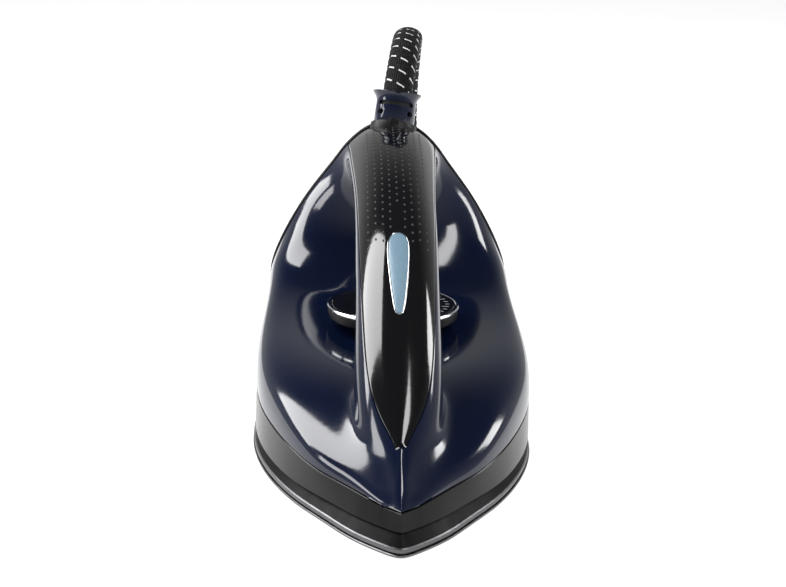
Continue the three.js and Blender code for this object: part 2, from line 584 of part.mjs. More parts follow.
piece("lens", outward(stack([dropRing(0, -2.2), dropRing(0, 0.1)])), LIGHT_BLUE, lensFrame);
piece("lamp_board", block([-5.5, -13, -9.6], [5.5, 13, -8]), BOARD, lensFrame);
piece("lamp", post(0, 2, -7.7, -3.2, 2.6, 10), CERAMIC, lensFrame);

// ---- gland frame ----
const glandFrame = new THREE.Group();
glandFrame.position.set(GLAND.x, GLAND.y, GLAND.z);
glandFrame.rotation.set(-GLAND.leanBack, GLAND.leanRight, 0);
root.add(glandFrame);
glandFrame.updateMatrixWorld(true);
/** A tool solid of a frame, moved to where that frame stands. */
const placed = (geometry, frame) => geometry.applyMatrix4(frame.matrixWorld);

// ---- trigger group: steam trigger, its pin and spring, the switch and its carrier ----
const triggerFrame = new THREE.Group();
triggerFrame.position.set(0, TRIGGER.y, TRIGGER.z);
triggerFrame.rotation.x = TRIGGER.tilt;
root.add(triggerFrame);
triggerFrame.updateMatrixWorld(true);

// ---- body shells ----
const lensOpening = () =>
  placed(plate(dropRing(1.35, 0).map((p) => new THREE.Vector2(p.x, p.y)), -8, 6), lensFrame);
const glandBore = () => placed(post(0, 0, -14, 14.5, 11.4, 20), glandFrame);
const triggerSlot = () => placed(block([-TRIGGER.halfWidth - 0.8, -17, -5], [TRIGGER.halfWidth + 0.8, 13.8, 5.5]), triggerFrame);
piece("main_shell", cut(thicken(skin, "main_shell", WALL), post(0, DIAL.y, 36, 50, 4.6, 16), triggerSlot()), NAVY);
piece(
  "grip_cover",
  cut(thicken(skin, "grip_cover", WALL), lensOpening(), glandBore()),
  BLACK_GLOSS,
);

// ---- rear cover ----
/** The arch of the body's heel end, grown by margin and closed along the bottom, at y. */
function archRing(margin, y) {
  const line = [...arch].sort((p, q) => Math.atan2(p.z - 70, p.x) - Math.atan2(q.z - 70, q.x)).filter((p) => p.z > 43);
  const low = line.filter((p) => p.z < 70);
  const rightFoot = new THREE.Vector3(Math.max(...low.map((p) => p.x)), 0, 41.6);
  const all = [rightFoot, ...line.filter((p) => p.x > -1e-6 || p.z >= 43).sort((p, q) => order(p) - order(q))];
  const leftFoot = rightFoot.clone().setX(-rightFoot.x);
  return [...all, leftFoot].map((p) => {
    const fromCentre = new THREE.Vector3(p.x, 0, Math.max(0, p.z - 62)).normalize();
    return new THREE.Vector3(p.x + fromCentre.x * margin, y, p.z + fromCentre.z * margin);
  });
}
function order(p) {
  const a = Math.atan2(p.z - 41, p.x);
  return a;
}
const xz = (p) => new THREE.Vector2(p.x, p.z);
const archSolid = (levels) => outward(stack(levels.map(([margin, y]) => archRing(margin, y)), xz));
piece(
  "rear_cover",
  cut(
    archSolid([[0.7, HEEL_FRONT], [0.9, 110.5], [0, 113.5], [-3.2, 115.6], [-6, HEEL_BACK]]),
    archSolid([[-2, HEEL_FRONT - 2], [-2, 112], [-6.5, 113.6]]).translate(0, 0, 1.5),
    glandBore(),
    ...HEEL_SCREWS.map((x) => lyingPost(x, 59.5, 108, 118, 1.6, 8)),
  ),
  BLACK,
);
HEEL_SCREWS.forEach((x, i) =>
  piece(`heel_screw_${i + 1}`, screw(0, 0, 0, { depth: 15, head: 3.2, rise: 1.8 }).rotateX(-Math.PI / 2).translate(x, HEEL_BACK + GAP, 59.5), STEEL),
);
piece("heel_pad_low", block([-36, HEEL_BACK + GAP, 45], [36, HEEL_REST, 52]), RUBBER);
piece("heel_pad_high", block([-14, HEEL_BACK + GAP, 99], [14, HEEL_REST, 105]), RUBBER);

// ---- dial ----
const dialFrame = new THREE.Group();
dialFrame.position.set(0, DIAL.y, DIAL.bottom);
root.add(dialFrame);
const R = DIAL.radius;
piece("dial_knob", turned([[0, 0.3], [R - 4.5, 0.3], [R - 0.9, 1.6], [R - 0.4, 5.4], [0, 5.4]], 0, 0, 32), BLACK, dialFrame);
piece("dial_ring", turned([[R - 2.8, 5.7], [R, 5.7], [R, 7.1], [R - 0.6, 7.7], [R - 2.8, 7.4]], 0, 0, 32), CHROME, dialFrame);
piece("dial_face", turned([[0, 5.7], [R - 3.1, 5.7], [R - 3.1, 6.9], [0, 6.9]], 0, 0, 24), BLACK_GLOSS, dialFrame);
piece("dial_spindle", post(0, 0, 22.3 - DIAL.bottom, 0, 2.4, 10), STEEL, dialFrame);

// ---- trigger pieces ----
const [pinY, pinZ] = TRIGGER.pivot;
const sideways = (corners, halfWidth) =>
  new THREE.ExtrudeGeometry(new THREE.Shape(corners.map(([y, z]) => new THREE.Vector2(y, z))), {
    depth: 2 * halfWidth, bevelEnabled: false, curveSegments: 1,
  }).rotateY(Math.PI / 2).rotateX(Math.PI / 2).translate(-halfWidth, 0, 0);
const acrossPost = (y, z, x0, x1, radius, sides = 10) =>
  new THREE.CylinderGeometry(radius, radius, x1 - x0, sides).rotateZ(Math.PI / 2).translate((x0 + x1) / 2, y, z);
const TRIGGER_SIDE = [
  [-15, 4.6], [-15, -1], [-13.2, -3.4], [-9, -4.4], [0, -4.9], [7, -3.9], [11.5, -1.4], [13, 1.2], [13.2, 4.2],
  [16.6, 6.6], [17.4, 9], [16.4, 11.4], [14, 12.2], [11.6, 11.4], [10.6, 9], [10, 5.4], [-4, 5.2], [-4.4, 7.6], [-7.6, 7.6],
  [-8, 4.8],
];
piece("steam_trigger", cut(sideways(TRIGGER_SIDE, TRIGGER.halfWidth), acrossPost(pinY, pinZ, -9, 9, 1.55)), NAVY, triggerFrame);
piece("trigger_pin", acrossPost(pinY, pinZ, -9.4, 9.4, 1.2), STEEL, triggerFrame);
piece(
  "switch_carrier",
  cut(
    join(
      block([-10, -15, 15.7], [10, 22, 17.3]),
      block([7.6, 10, 6], [9.6, 18, 16]),
      block([-9.6, 10, 6], [-7.6, 18, 16]),
    ),
    acrossPost(pinY, pinZ, -12, 12, 1.5),
  ),
  BLACK,
  triggerFrame,
);
piece(
  "microswitch",
  cut(block([-3.2, -16, 10.4], [3.2, 4, 15.4]), post(0, -6, 9, 14.4, 1.6, 10)),
  BLACK,
  triggerFrame,
);
piece("switch_plunger", post(0, -6, 7.95, 12.2, 1.25, 8), SILICONE, triggerFrame);

/** A helical spring with its fixed end at the frame's origin and its coils running down -Z. */
function helix(radius, length, turns, wire) {
  class Coil extends THREE.Curve {
    getPoint(u) {
      const a = u * turns * 2 * Math.PI;
      return new THREE.Vector3(radius * Math.cos(a), radius * Math.sin(a), -wire - u * (length - 2 * wire));
    }
  }
  return alongPath(new Coil(), wire, 5, turns * 8);
}
const springFrame = new THREE.Group();
springFrame.position.set(0, -12.4, 10.1);
triggerFrame.add(springFrame);
piece("trigger_spring", helix(1.7, 5, 4, 0.28), STEEL, springFrame);

// ---- cord entry: grommet, strain relief, clamp ----
const leanedCut = (geometry, ...tools) => cut(geometry, ...tools);
piece("cord_grommet", turned([[8.9, -4], [10.9, -4], [10.9, 1], [10.4, 1.6], [8.9, 1.6]], 0, 0, 20), RUBBER, glandFrame);
const slotted = () => {
  const tools = [];
  for (const side of [1, -1]) {
    tools.push(cut(block([-8, side > 0 ? 3 : -13, 7.3], [8, side > 0 ? 13 : -3, 9.3]), post(0, 0, 7, 10, 6.5, 8)));
    for (const x of [-6.9, 6.9]) tools.push(lyingPost(x, 3.9, Math.min(side * 4, side * 13), Math.max(side * 4, side * 13), 1.25, 8));
  }
  return tools;
};
piece(
  "strain_relief",
  leanedCut(
    turned(
      [[7.8, -9], [8.6, -9], [8.6, 1.9], [9.6, 1.9], [9.4, 10.5], [9.8, 12.5], [10.8, 14.4], [10.5, 14.5], [9, 12.8], [7.9, 10.5]],
      0, 0, 20,
    ),
    ...slotted(),
  ),
  NAVY,
  glandFrame,
);
piece("cord_clamp", block([-9, 103.2, 98], [9, 106.6, 104]), STEEL);

// ---- wiring and steam hose ----
piece(
  "steam_hose",
  tube(
    [[0, -30, 20.4], [0, -29.5, 27], [-5, -22, 33], [-17, -5, 33.5], [-23, 25, 31], [-23, 60, 33], [-15, 84, 42], [-8, 96, 66],
      [-4, 98.2, 92], [-2, 99, 108]],
    3.2, 8, 24,
  ),
  SILICONE,
);
piece("terminal_block", join(block([3, 96, 66], [19, 104, 74]), ...[6, 11, 16].map((x) => lyingPost(x, 70, 103, 105.5, 1.7, 8))), CERAMIC);
const wires = {
  wire_supply: [[8.5, 100, 75], [8.5, 100, 84], [5.5, 100, 96], [4.6, 100, 108]],
  wire_thermostat: [[6, 100, 65.6], [7, 98, 52], [9, 84, 33], [8, 64, 20], [5, 46.5, 15.5]],
  wire_heater_live: [[-5, 46.5, 15.5], [-7, 58, 17.5], [-13, 76, 27], [-19, 88, 29.5], [-21, 92.4, 22.5]],
  wire_heater_neutral: [[11, 100, 65.6], [13, 99, 52], [18, 96, 36], [21, 92.5, 22.5]],
  wire_earth: [[16, 100, 65.6], [21, 94, 45], [27, 74, 27], [29, 59, 16], [28.8, 51.2, 9.9]],
  wire_switch: [[0, 17.2, 94.2], [3, 24, 99.5], [4, 44, 105.5], [4, 74, 109], [2, 94, 109.5], [2, 99, 109.5]],
  wire_lamp: [[-4, -12.4, 85.6], [-5.3, -4, 88], [-5.4, 10.7, 94], [-5.4, 31, 102.4], [-5, 52, 107.5], [-5, 76, 110.5], [-1, 99, 113]],
};
for (const [name, points] of Object.entries(wires)) piece(name, tube(points, 0.8, 5, points.length * 3), name === "wire_earth" ? BOARD : BLACK);

// ---- cord: the hose and lead in one braid ----
const FLOOR = CORD.thick / 2 + 0.2; // height of the cord's middle where it lies on the table
const LAYER = CORD.thick + 0.1;
const ARCH = { radius: 54, y: 156.2, z: 103.1 };
/** A point on the arch of the cord over the heel, at an angle from upright, x to the right. */
const overHeel = (x, degrees) => {
  const a = degrees * (Math.PI / 180);
  return [x, ARCH.y - ARCH.radius * Math.cos(a), ARCH.z + ARCH.radius * Math.sin(a)];
};
const RISE = [
  [0.2, 103.5, 117], overHeel(0.9, 20.4), overHeel(2.5, 37), overHeel(5.6, 62), overHeel(7.8, 84), overHeel(9.2, 106),
  overHeel(9.6, 130), overHeel(9.4, 155), overHeel(9.6, 178), [12.6, 212, 82], [19, 217, 56], [28, 230, 29], [37.5, 248, 12], [43.8, 265.3, 6.5], [46, 275, 5.82],
];
const ENTRY = [[46.1, 275.4, 5.8], [48.3, 285.1, FLOOR], [51.8, 300, FLOOR], [HANK.x + HANK.bend, HANK.near + 18, FLOOR]];

/** The cord's oval section swept along points, with its width kept level. */
function flatCord(points, steps) {
  const path = new THREE.CatmullRomCurve3(points.map((p) => new THREE.Vector3(...p)), false, "centripetal");
  const [x, y, z] = path.getTangentAt(0).toArray().map(Math.abs);
  const [a, b] = x < y && x < z ? [CORD.width / 2, CORD.thick / 2] : [CORD.thick / 2, CORD.width / 2];
  const section = new THREE.Shape(
    Array.from({ length: 10 }, (_, i) => new THREE.Vector2(a * Math.cos((i * Math.PI) / 5), b * Math.sin((i * Math.PI) / 5))),
  );
  return new THREE.ExtrudeGeometry(section, { steps, extrudePath: path, bevelEnabled: false, curveSegments: 1 });
}
piece("cord_rise", flatCord(RISE, 22), BRAID);

/** Points along the wound turns, from one share of a turn to another, a turn starting on the right-hand run. */
function wound(from, to, perTurn = 16) {
  const straight = HANK.far - HANK.near;
  const fold = Math.PI * HANK.bend;
  const length = 2 * (straight + fold);
  const points = [];
  for (let n = Math.ceil(from * perTurn); n <= to * perTurn + 1e-9; n++) {
    const turns = Math.floor(n / perTurn + 1e-9);
    const s = (n / perTurn - turns) * length;
    const layer = FLOOR + turns * LAYER;
    if (s <= straight) points.push([HANK.x + HANK.bend, HANK.near + s, layer]);
    else if (s <= straight + fold) {
      const a = (s - straight) / HANK.bend;
      points.push([HANK.x + HANK.bend * Math.cos(a), HANK.far + HANK.bend * Math.sin(a), layer]);
    } else if (s <= 2 * straight + fold) points.push([HANK.x - HANK.bend, HANK.far - (s - straight - fold), layer]);
    else {
      const a = (s - 2 * straight - fold) / HANK.bend;
      const up = THREE.MathUtils.smoothstep(a / Math.PI, 0.1, 0.9) * LAYER;
      points.push([HANK.x - HANK.bend * Math.cos(a), HANK.near - HANK.bend * Math.sin(a), layer + up]);
    }
  }
  return points;
}

/** A flat racetrack ring of the hank's width, from z0 to z1. */
function racetrack(z0, z1) {
  const outline = (radius) => {
    const shape = new THREE.Shape();
    shape.absarc(HANK.x, HANK.far, radius, 0, Math.PI);
    shape.absarc(HANK.x, HANK.near, radius, Math.PI, 2 * Math.PI);
    return shape;
  };
  const ring = outline(HANK.bend + CORD.width / 2);
  ring.holes = [outline(HANK.bend - CORD.width / 2)];
  return new THREE.ExtrudeGeometry(ring, { depth: z1 - z0, bevelEnabled: false, curveSegments: 9 }).translate(0, 0, z0);
}
const STRAP = { y0: 352, y1: 371, thick: 1.2 };
const [runLeft, runRight] = [HANK.x + HANK.bend - CORD.width / 2, HANK.x + HANK.bend + CORD.width / 2];
const hankTop = FLOOR + 2 * LAYER + CORD.thick / 2;
const strapRing = (grow) =>
  cut(
    block([runLeft - 2, STRAP.y0 - grow, -1], [runRight + 2, STRAP.y1 + grow, hankTop + 2]),
    block([runLeft + 1.3 + grow, STRAP.y0 - 5, 1.5 + grow], [runRight - 1.3 - grow, STRAP.y1 + 5, hankTop - 1.3 - grow]),
  );
piece(
  "cord_hank",
  cut(
    join(
      racetrack(0.2, hankTop - LAYER),
      cut(racetrack(hankTop - LAYER - 1, hankTop), block([-60, 200, 0], [-12, 392, 60]), block([-20, 200, 0], [36, 318, 60])),
      flatCord(ENTRY, 6),
    ),
    strapRing(GAP),
  ),
  BRAID,
);
piece(
  "cord_tie",
  cut(
    block([runLeft + 0.1, STRAP.y0, 0.3], [runRight - 0.1, STRAP.y1, hankTop - 0.1]),
    block([runLeft + 1.3, STRAP.y0 - 5, 1.5], [runRight - 1.3, STRAP.y1 + 5, hankTop - 1.3]),
  ),
  BLACK,
);
const TAIL = [
  [-31, 391.6, 26.4], [-31, 382, 26.5], [-27, 368, 28], [-15, 353, 33], [0, 340, 38], [5, 328, 39.4], [5, 318, 39.5],
];
piece("cord_tail", flatCord(TAIL, 9), BRAID);

// ---- coupling at the cord's far end ----
const coupling = new THREE.Group();
coupling.position.set(5, 317.6, 39.5);
coupling.rotation.x = Math.PI / 2;
root.add(coupling);
/** A rounded rectangle about the coupling's axis. */
function pad(width, height, corner, z) {
  const points = [];
  for (const [sx, sy, a0] of [[1, 1, 0], [-1, 1, 90], [-1, -1, 180], [1, -1, 270]])
    for (const a of [0, 45, 90]) {
      const t = (a0 + a) * (Math.PI / 180);
      points.push(new THREE.Vector3(
        sx * (width / 2 - corner) + corner * Math.cos(t), sy * (height / 2 - corner) + corner * Math.sin(t), z,
      ));
    }
  return points;
}
piece("coupling_boot", outward(stack([pad(16, 13, 5, 0), pad(17, 14, 5, 10), pad(22, 18, 6, 22)])), RUBBER, coupling);
piece(
  "coupling_body",
  outward(stack([pad(24, 19, 6, 22.3), pad(32, 22, 6, 27), pad(33, 22.6, 6, 46), pad(29, 20, 5, 47), pad(29, 20, 5, 54)])),
  NAVY,
  coupling,
);
piece(
  "coupling_contacts",
  join(block([-11.5, -6.5, 54.3], [1.5, 6.5, 55.6]), ...[[-9, 3], [-1, 3], [-5, -3.5]].map(([x, y]) => post(x, y, 55, 63, 1.2, 8))),
  BRASS,
  coupling,
);
piece("coupling_nozzle", turned([[1.8, 54.3], [4.6, 54.3], [4.6, 57], [3.4, 57.4], [3.4, 65], [1.8, 65]], 8.5, 0, 14), CHROME, coupling);

export default root;
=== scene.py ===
"""The handpiece of a steam-station iron: glossy body, arched grip, dial, sole and braided hose.

Every length is in metres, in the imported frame: the nose points to -Y, the heel to +Y, and the sole rests at Z = 0.
"""
import json
import logging
import math
from dataclasses import dataclass, field
from enum import Enum
from typing import Callable, Iterable, Sequence

import bmesh
import bpy
from mathutils import Matrix, Vector
from mathutils.bvhtree import BVHTree


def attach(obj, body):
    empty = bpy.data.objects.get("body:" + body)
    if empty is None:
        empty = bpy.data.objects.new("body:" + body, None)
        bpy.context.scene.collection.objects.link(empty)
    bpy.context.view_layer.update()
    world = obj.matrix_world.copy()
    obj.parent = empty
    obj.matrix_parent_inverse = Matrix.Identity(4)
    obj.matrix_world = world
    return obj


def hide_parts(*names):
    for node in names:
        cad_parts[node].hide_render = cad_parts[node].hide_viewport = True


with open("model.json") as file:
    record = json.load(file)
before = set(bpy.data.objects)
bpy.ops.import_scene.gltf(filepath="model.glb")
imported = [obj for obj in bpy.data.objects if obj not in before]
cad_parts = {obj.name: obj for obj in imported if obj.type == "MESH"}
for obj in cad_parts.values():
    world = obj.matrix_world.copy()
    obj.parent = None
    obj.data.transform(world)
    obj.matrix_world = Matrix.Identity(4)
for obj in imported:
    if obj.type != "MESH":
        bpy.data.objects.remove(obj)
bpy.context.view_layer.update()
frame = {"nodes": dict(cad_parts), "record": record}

LOG = logging.getLogger("iron")
MM = 0.001
Point = tuple[float, float, float]


class Body(Enum):
    """The rigid bodies that pieces ride on."""

    IRON = "iron_body"
    DIAL = "dial"
    TRIGGER = "trigger"
    PLUNGER = "plunger"


# ---------------------------------------------------------------- finishes


class Shading:
    """A material's node tree, with short calls for the nodes that the finishes share."""

    def __init__(self, name: str) -> None:
        """Start an empty Principled material.

        Args:
            name: the material's name.
        """
        self.material = bpy.data.materials.new(name)
        self.material.use_nodes = True
        self.tree = self.material.node_tree
        self.shader = self.tree.nodes["Principled BSDF"]

    def set(self, **values: object) -> None:
        """Set the shader's own sockets, named with underscores for spaces."""
        for name, value in values.items():
            self.shader.inputs[name.replace("_", " ")].default_value = value

    def add(self, kind: str, **properties: object) -> bpy.types.Node:
        """Add a node of a kind with the given properties and return it."""
        node = self.tree.nodes.new(f"ShaderNode{kind}")
        for name, value in properties.items():
            setattr(node, name, value)
        return node

    def link(self, source: bpy.types.NodeSocket, target: bpy.types.NodeSocket) -> None:
        """Join an output socket to an input socket."""
        self.tree.links.new(source, target)

    def object_coordinates(self, scale: Point = (1, 1, 1)) -> bpy.types.NodeSocket:
        """Return object coordinates through a Mapping node with the given scale."""
        coordinates = self.add("TexCoord")
        mapping = self.add("Mapping")
        mapping.inputs["Scale"].default_value = scale
        self.link(coordinates.outputs["Object"], mapping.inputs["Vector"])
        return mapping.outputs["Vector"]

    def noise(self, scale: float, detail: float = 3, stretch: Point = (1, 1, 1)) -> bpy.types.NodeSocket:
        """Return a noise value in object coordinates.

        Args:
            scale: cells per metre.
            detail: octaves of finer noise.
            stretch: scale of each axis.

        Returns:
            The noise factor's socket.
        """
        node = self.add("TexNoise")
        node.inputs["Scale"].default_value = scale
        node.inputs["Detail"].default_value = detail
        self.link(self.object_coordinates(stretch), node.inputs["Vector"])
        return node.outputs["Fac"]

    def math(self, operation: str, a: object, b: object = 0.0) -> bpy.types.NodeSocket:
        """Return a Math node's value; each operand is a number or a socket."""
        node = self.add("Math", operation=operation)
        for socket, value in zip(node.inputs, (a, b)):
            if isinstance(value, (int, float)):
                socket.default_value = value
            else:
                self.link(value, socket)
        return node.outputs["Value"]

    def spread(self, value: bpy.types.NodeSocket, low: float, high: float) -> bpy.types.NodeSocket:
        """Return a value from 0.3 to 0.7 spread to a range."""
        node = self.add("MapRange")
        for name, number in (("From Min", 0.3), ("From Max", 0.7), ("To Min", low), ("To Max", high)):
            node.inputs[name].default_value = number
        self.link(value, node.inputs["Value"])
        return node.outputs["Result"]

    def mix(self, factor: bpy.types.NodeSocket, first: Point, second: Point) -> bpy.types.NodeSocket:
        """Return a colour between two, by a factor."""
        node = self.add("Mix", data_type="RGBA")
        for socket in node.inputs:
            if socket.name in ("A", "B") and socket.type == "RGBA":
                socket.default_value = (*(first if socket.name == "A" else second), 1)
        self.link(factor, node.inputs["Factor"])
        return next(s for s in node.outputs if s.type == "RGBA")

    def colour(self, socket: bpy.types.NodeSocket) -> None:
        """Drive the base colour."""
        self.link(socket, self.shader.inputs["Base Color"])

    def roughness(self, socket: bpy.types.NodeSocket) -> None:
        """Drive the roughness."""
        self.link(socket, self.shader.inputs["Roughness"])

    def bump(self, height: bpy.types.NodeSocket, distance: float, strength: float = 1) -> None:
        """Drive the normal with a bump of the given height in metres."""
        node = self.add("Bump")
        node.inputs["Distance"].default_value = distance
        node.inputs["Strength"].default_value = strength
        self.link(height, node.inputs["Height"])
        self.link(node.outputs["Normal"], self.shader.inputs["Normal"])


def darker(colour: Point, share: float) -> Point:
    """Return a colour times a share."""
    return tuple(c * share for c in colour)


@dataclass(frozen=True)
class GlossPlastic:
    """Polished moulded plastic with faint handling haze."""

    name: str
    shade: Point
    rough: float = 0.09
    coat: float = 0.1

    def make(self) -> bpy.types.Material:
        """Return the finished material."""
        s = Shading(self.name)
        s.set(Coat_Weight=self.coat, Coat_Roughness=0.04, IOR=1.46)
        s.roughness(s.spread(s.noise(28, 4), self.rough * 0.8, self.rough * 1.5))
        s.colour(s.mix(s.noise(60, 2), self.shade, darker(self.shade, 0.86)))
        s.bump(s.noise(420, 2), 0.000012)
        return s.material


@dataclass(frozen=True)
class GrainedPlastic:
    """Moulded plastic with a fine spark-eroded grain."""

    name: str
    shade: Point
    rough: float = 0.42
    grain: float = 0.00004
    glint: float = 0.5

    def make(self) -> bpy.types.Material:
        """Return the finished material."""
        s = Shading(self.name)
        s.set(IOR=1.48, Specular_IOR_Level=self.glint)
        s.roughness(s.spread(s.noise(900, 3), self.rough * 0.85, self.rough * 1.2))
        s.colour(s.mix(s.noise(35, 4), self.shade, darker(self.shade, 0.8)))
        s.bump(s.noise(2600, 3), self.grain)
        return s.material


@dataclass(frozen=True)
class Metal:
    """Metal whose surface is cast, brushed, turned or plated, by its noise stretch."""

    name: str
    shade: Point
    rough: float = 0.35
    stretch: Point = (1, 1, 1)
    grain: float = 0.00002
    scale: float = 500

    def make(self) -> bpy.types.Material:
        """Return the finished material."""
        s = Shading(self.name)
        s.set(Metallic=1.0)
        s.roughness(s.spread(s.noise(self.scale, 4, self.stretch), self.rough * 0.75, self.rough * 1.3))
        s.colour(s.mix(s.noise(self.scale * 0.2, 5, self.stretch), self.shade, darker(self.shade, 0.85)))
        s.bump(s.noise(self.scale * 2, 3, self.stretch), self.grain)
        return s.material


@dataclass(frozen=True)
class CoatedCasting:
    """Cast aluminium, bare on its upright rim and black-coated on the shoulder above it."""

    name: str
    shade: Point
    coat: Point = (0.008, 0.008, 0.0085)
    rim_top: float = 0.0039

    def make(self) -> bpy.types.Material:
        """Return the finished material."""
        s = Shading(self.name)
        s.set(IOR=1.4, Specular_IOR_Level=0.06)
        parts = s.add("SeparateXYZ")
        s.link(s.object_coordinates(), parts.inputs["Vector"])
        above = s.math("GREATER_THAN", parts.outputs["Z"], self.rim_top)
        s.colour(s.mix(above, self.shade, self.coat))
        s.link(s.math("SUBTRACT", 1, above), s.shader.inputs["Metallic"])
        s.roughness(s.spread(s.noise(160, 3), 0.3, 0.42))
        s.bump(s.noise(300, 2), 0.000008)
        return s.material


@dataclass(frozen=True)
class TintedWindow:
    """Frosted light-blue window with a fine moulded stipple, with painted shade in the stipple's dimples."""

    name: str
    shade: Point

    def make(self) -> bpy.types.Material:
        """Return the finished material."""
        s = Shading(self.name)
        s.set(Roughness=0.38, Coat_Weight=0.15, Coat_Roughness=0.2, IOR=1.49, Subsurface_Weight=0.1)
        stipple = s.add("TexVoronoi")
        stipple.inputs["Scale"].default_value = 1500
        s.link(s.object_coordinates(), stipple.inputs["Vector"])
        # painted shade: the colour is darker at the dimples' centres, where the bump is lowest
        s.colour(s.mix(stipple.outputs["Distance"], darker(self.shade, 0.82), self.shade))
        s.bump(stipple.outputs["Distance"], 0.00004)
        return s.material


@dataclass(frozen=True)
class Braid:
    """Textile sleeve of a hose: black yarns in a two-way weave with white tracer yarns, with painted shade in the
    weave's hollows and painted highlight on its crests.

    The UV map holds the share of the way round in U and the metres along in V.
    """

    name: str
    shade: Point = (0.0025, 0.0025, 0.003)
    tracer: Point = (0.78, 0.79, 0.8)
    columns: int = 7
    starts: int = 3
    pitch: float = 0.0073
    yarn_half: float = 0.062
    dash_half: float = 0.3
    yarns_round: float = 21.0
    yarns_along: float = 640.0

    def strand(
        self, s: Shading, operation: str, round_: bpy.types.NodeSocket, along: bpy.types.NodeSocket
    ) -> bpy.types.NodeSocket:
        """Return the wave of one of the two ways of the weave."""
        across, ahead = s.math("MULTIPLY", round_, self.yarns_round), s.math("MULTIPLY", along, self.yarns_along)
        return s.math("SINE", s.math("MULTIPLY", s.math(operation, across, ahead), 2 * math.pi))

    def make(self) -> bpy.types.Material:
        """Return the finished material."""
        s = Shading(self.name)
        s.set(Roughness=0.5, Sheen_Weight=0.0, Sheen_Roughness=0.5, Specular_IOR_Level=0.15)
        uv = s.add("UVMap", uv_map="sleeve")
        parts = s.add("SeparateXYZ")
        s.link(uv.outputs["UV"], parts.inputs["Vector"])
        round_, along = parts.outputs["X"], parts.outputs["Y"]
        steps = s.math("DIVIDE", along, self.pitch)
        helix = s.math("FRACT", s.math("ADD", steps, s.math("MULTIPLY", round_, float(self.starts))))
        column = s.math("FRACT", s.math("MULTIPLY", round_, float(self.columns)))
        on_yarn = s.math("LESS_THAN", s.math("ABSOLUTE", s.math("SUBTRACT", helix, 0.5)), self.yarn_half)
        over = s.math("LESS_THAN", s.math("ABSOLUTE", s.math("SUBTRACT", column, 0.5)), self.dash_half)
        tracer = s.math("MULTIPLY", on_yarn, over)
        left, right = (self.strand(s, way, round_, along) for way in ("ADD", "SUBTRACT"))
        weave = s.math("MULTIPLY", s.math("ADD", s.math("MULTIPLY", left, right), 1.0), 0.5)
        # painted shade and highlight: the yarn colour is darkened in the weave's hollows and lightened on its crests,
        # following the same wave that drives the bump
        yarn_painted_shade = s.mix(weave, darker(self.shade, 0.5), darker(self.shade, 1.6))
        colour = s.add("Mix", data_type="RGBA")
        inputs = [i for i in colour.inputs if i.type == "RGBA"]
        s.link(tracer, colour.inputs["Factor"])
        s.link(yarn_painted_shade, inputs[0])
        inputs[1].default_value = (*self.tracer, 1)
        s.colour(next(o for o in colour.outputs if o.type == "RGBA"))
        s.bump(s.math("ADD", weave, s.math("MULTIPLY", tracer, 1.5)), 0.0004, 0.9)
        return s.material


class Finish(Enum):
    """The finishes of the iron, each with the record's slot it stands for."""

    NAVY = ("navy_plastic", GlossPlastic("navy gloss", (0.003, 0.0068, 0.025)))
    BLACK_GLOSS = ("black_gloss_plastic", GlossPlastic("black gloss", (0.0055, 0.0055, 0.0065), 0.07))
    BLACK = ("black_plastic", GrainedPlastic("black satin", (0.009, 0.009, 0.01), 0.4, glint=0.2))
    SHIELD = ("shield_plastic", GrainedPlastic("shield grey", (0.009, 0.009, 0.0095), 0.2, 0.000004, 0.16))
    LENS = ("light_blue_lens", TintedWindow("window blue", (0.2, 0.31, 0.4)))
    CHROME = ("chrome", Metal("chrome plate", (0.78, 0.79, 0.8), 0.07, grain=0.000003))
    CAST = ("cast_aluminium", CoatedCasting("cast aluminium", (0.12, 0.12, 0.125)))
    SOLE = ("sole_coating", Metal("sole coating", (0.18, 0.18, 0.185), 0.34, (1, 0.12, 1), 0.000004, 300))
    STEEL = ("steel", Metal("steel", (0.55, 0.55, 0.56), 0.3, (1, 1, 6)))
    BRASS = ("brass", Metal("brass", (0.62, 0.44, 0.17), 0.28))
    CERAMIC = ("ceramic", GrainedPlastic("ceramic", (0.72, 0.69, 0.6), 0.5))
    SILICONE = ("silicone", GrainedPlastic("silicone", (0.5, 0.1, 0.05), 0.5))
    RUBBER = ("rubber", GrainedPlastic("rubber", (0.014, 0.014, 0.015), 0.7, 0.00008))
    BOARD = ("board", GrainedPlastic("board", (0.03, 0.16, 0.06), 0.5))
    DOTS = ("black_gloss_plastic", GrainedPlastic("dot print", (0.036, 0.036, 0.038), 0.55, glint=0.3))
    BRAID = ("braid", Braid("braided sleeve"))
    PRINT = ("dial_print", GrainedPlastic("dial print", (0.6, 0.61, 0.62), 0.5, 0.00001))

    @property
    def slot(self) -> str:
        """The record's material slot."""
        return "ceramic" if self is Finish.PRINT else self.value[0]


class Wardrobe:
    """Makes each finish once and hands it out."""

    def __init__(self) -> None:
        """Start with no material made."""
        self.made: dict[Finish, bpy.types.Material] = {}

    def of(self, finish: Finish) -> bpy.types.Material:
        """Return the material of a finish."""
        if finish not in self.made:
            self.made[finish] = finish.value[1].make()
        return self.made[finish]


WARDROBE = Wardrobe()


# ---------------------------------------------------------------- modelling tools


def vectors(points: Iterable[Sequence[float]]) -> list[Vector]:
    """Return points in millimetres as vectors in metres."""
    return [Vector(p) * MM for p in points]


def smoothstep(value: float, low: float, high: float) -> float:
    """Return how far a value is from low to high, eased at both ends."""
    t = min(1.0, max(0.0, (value - low) / (high - low)))
    return t * t * (3 - 2 * t)


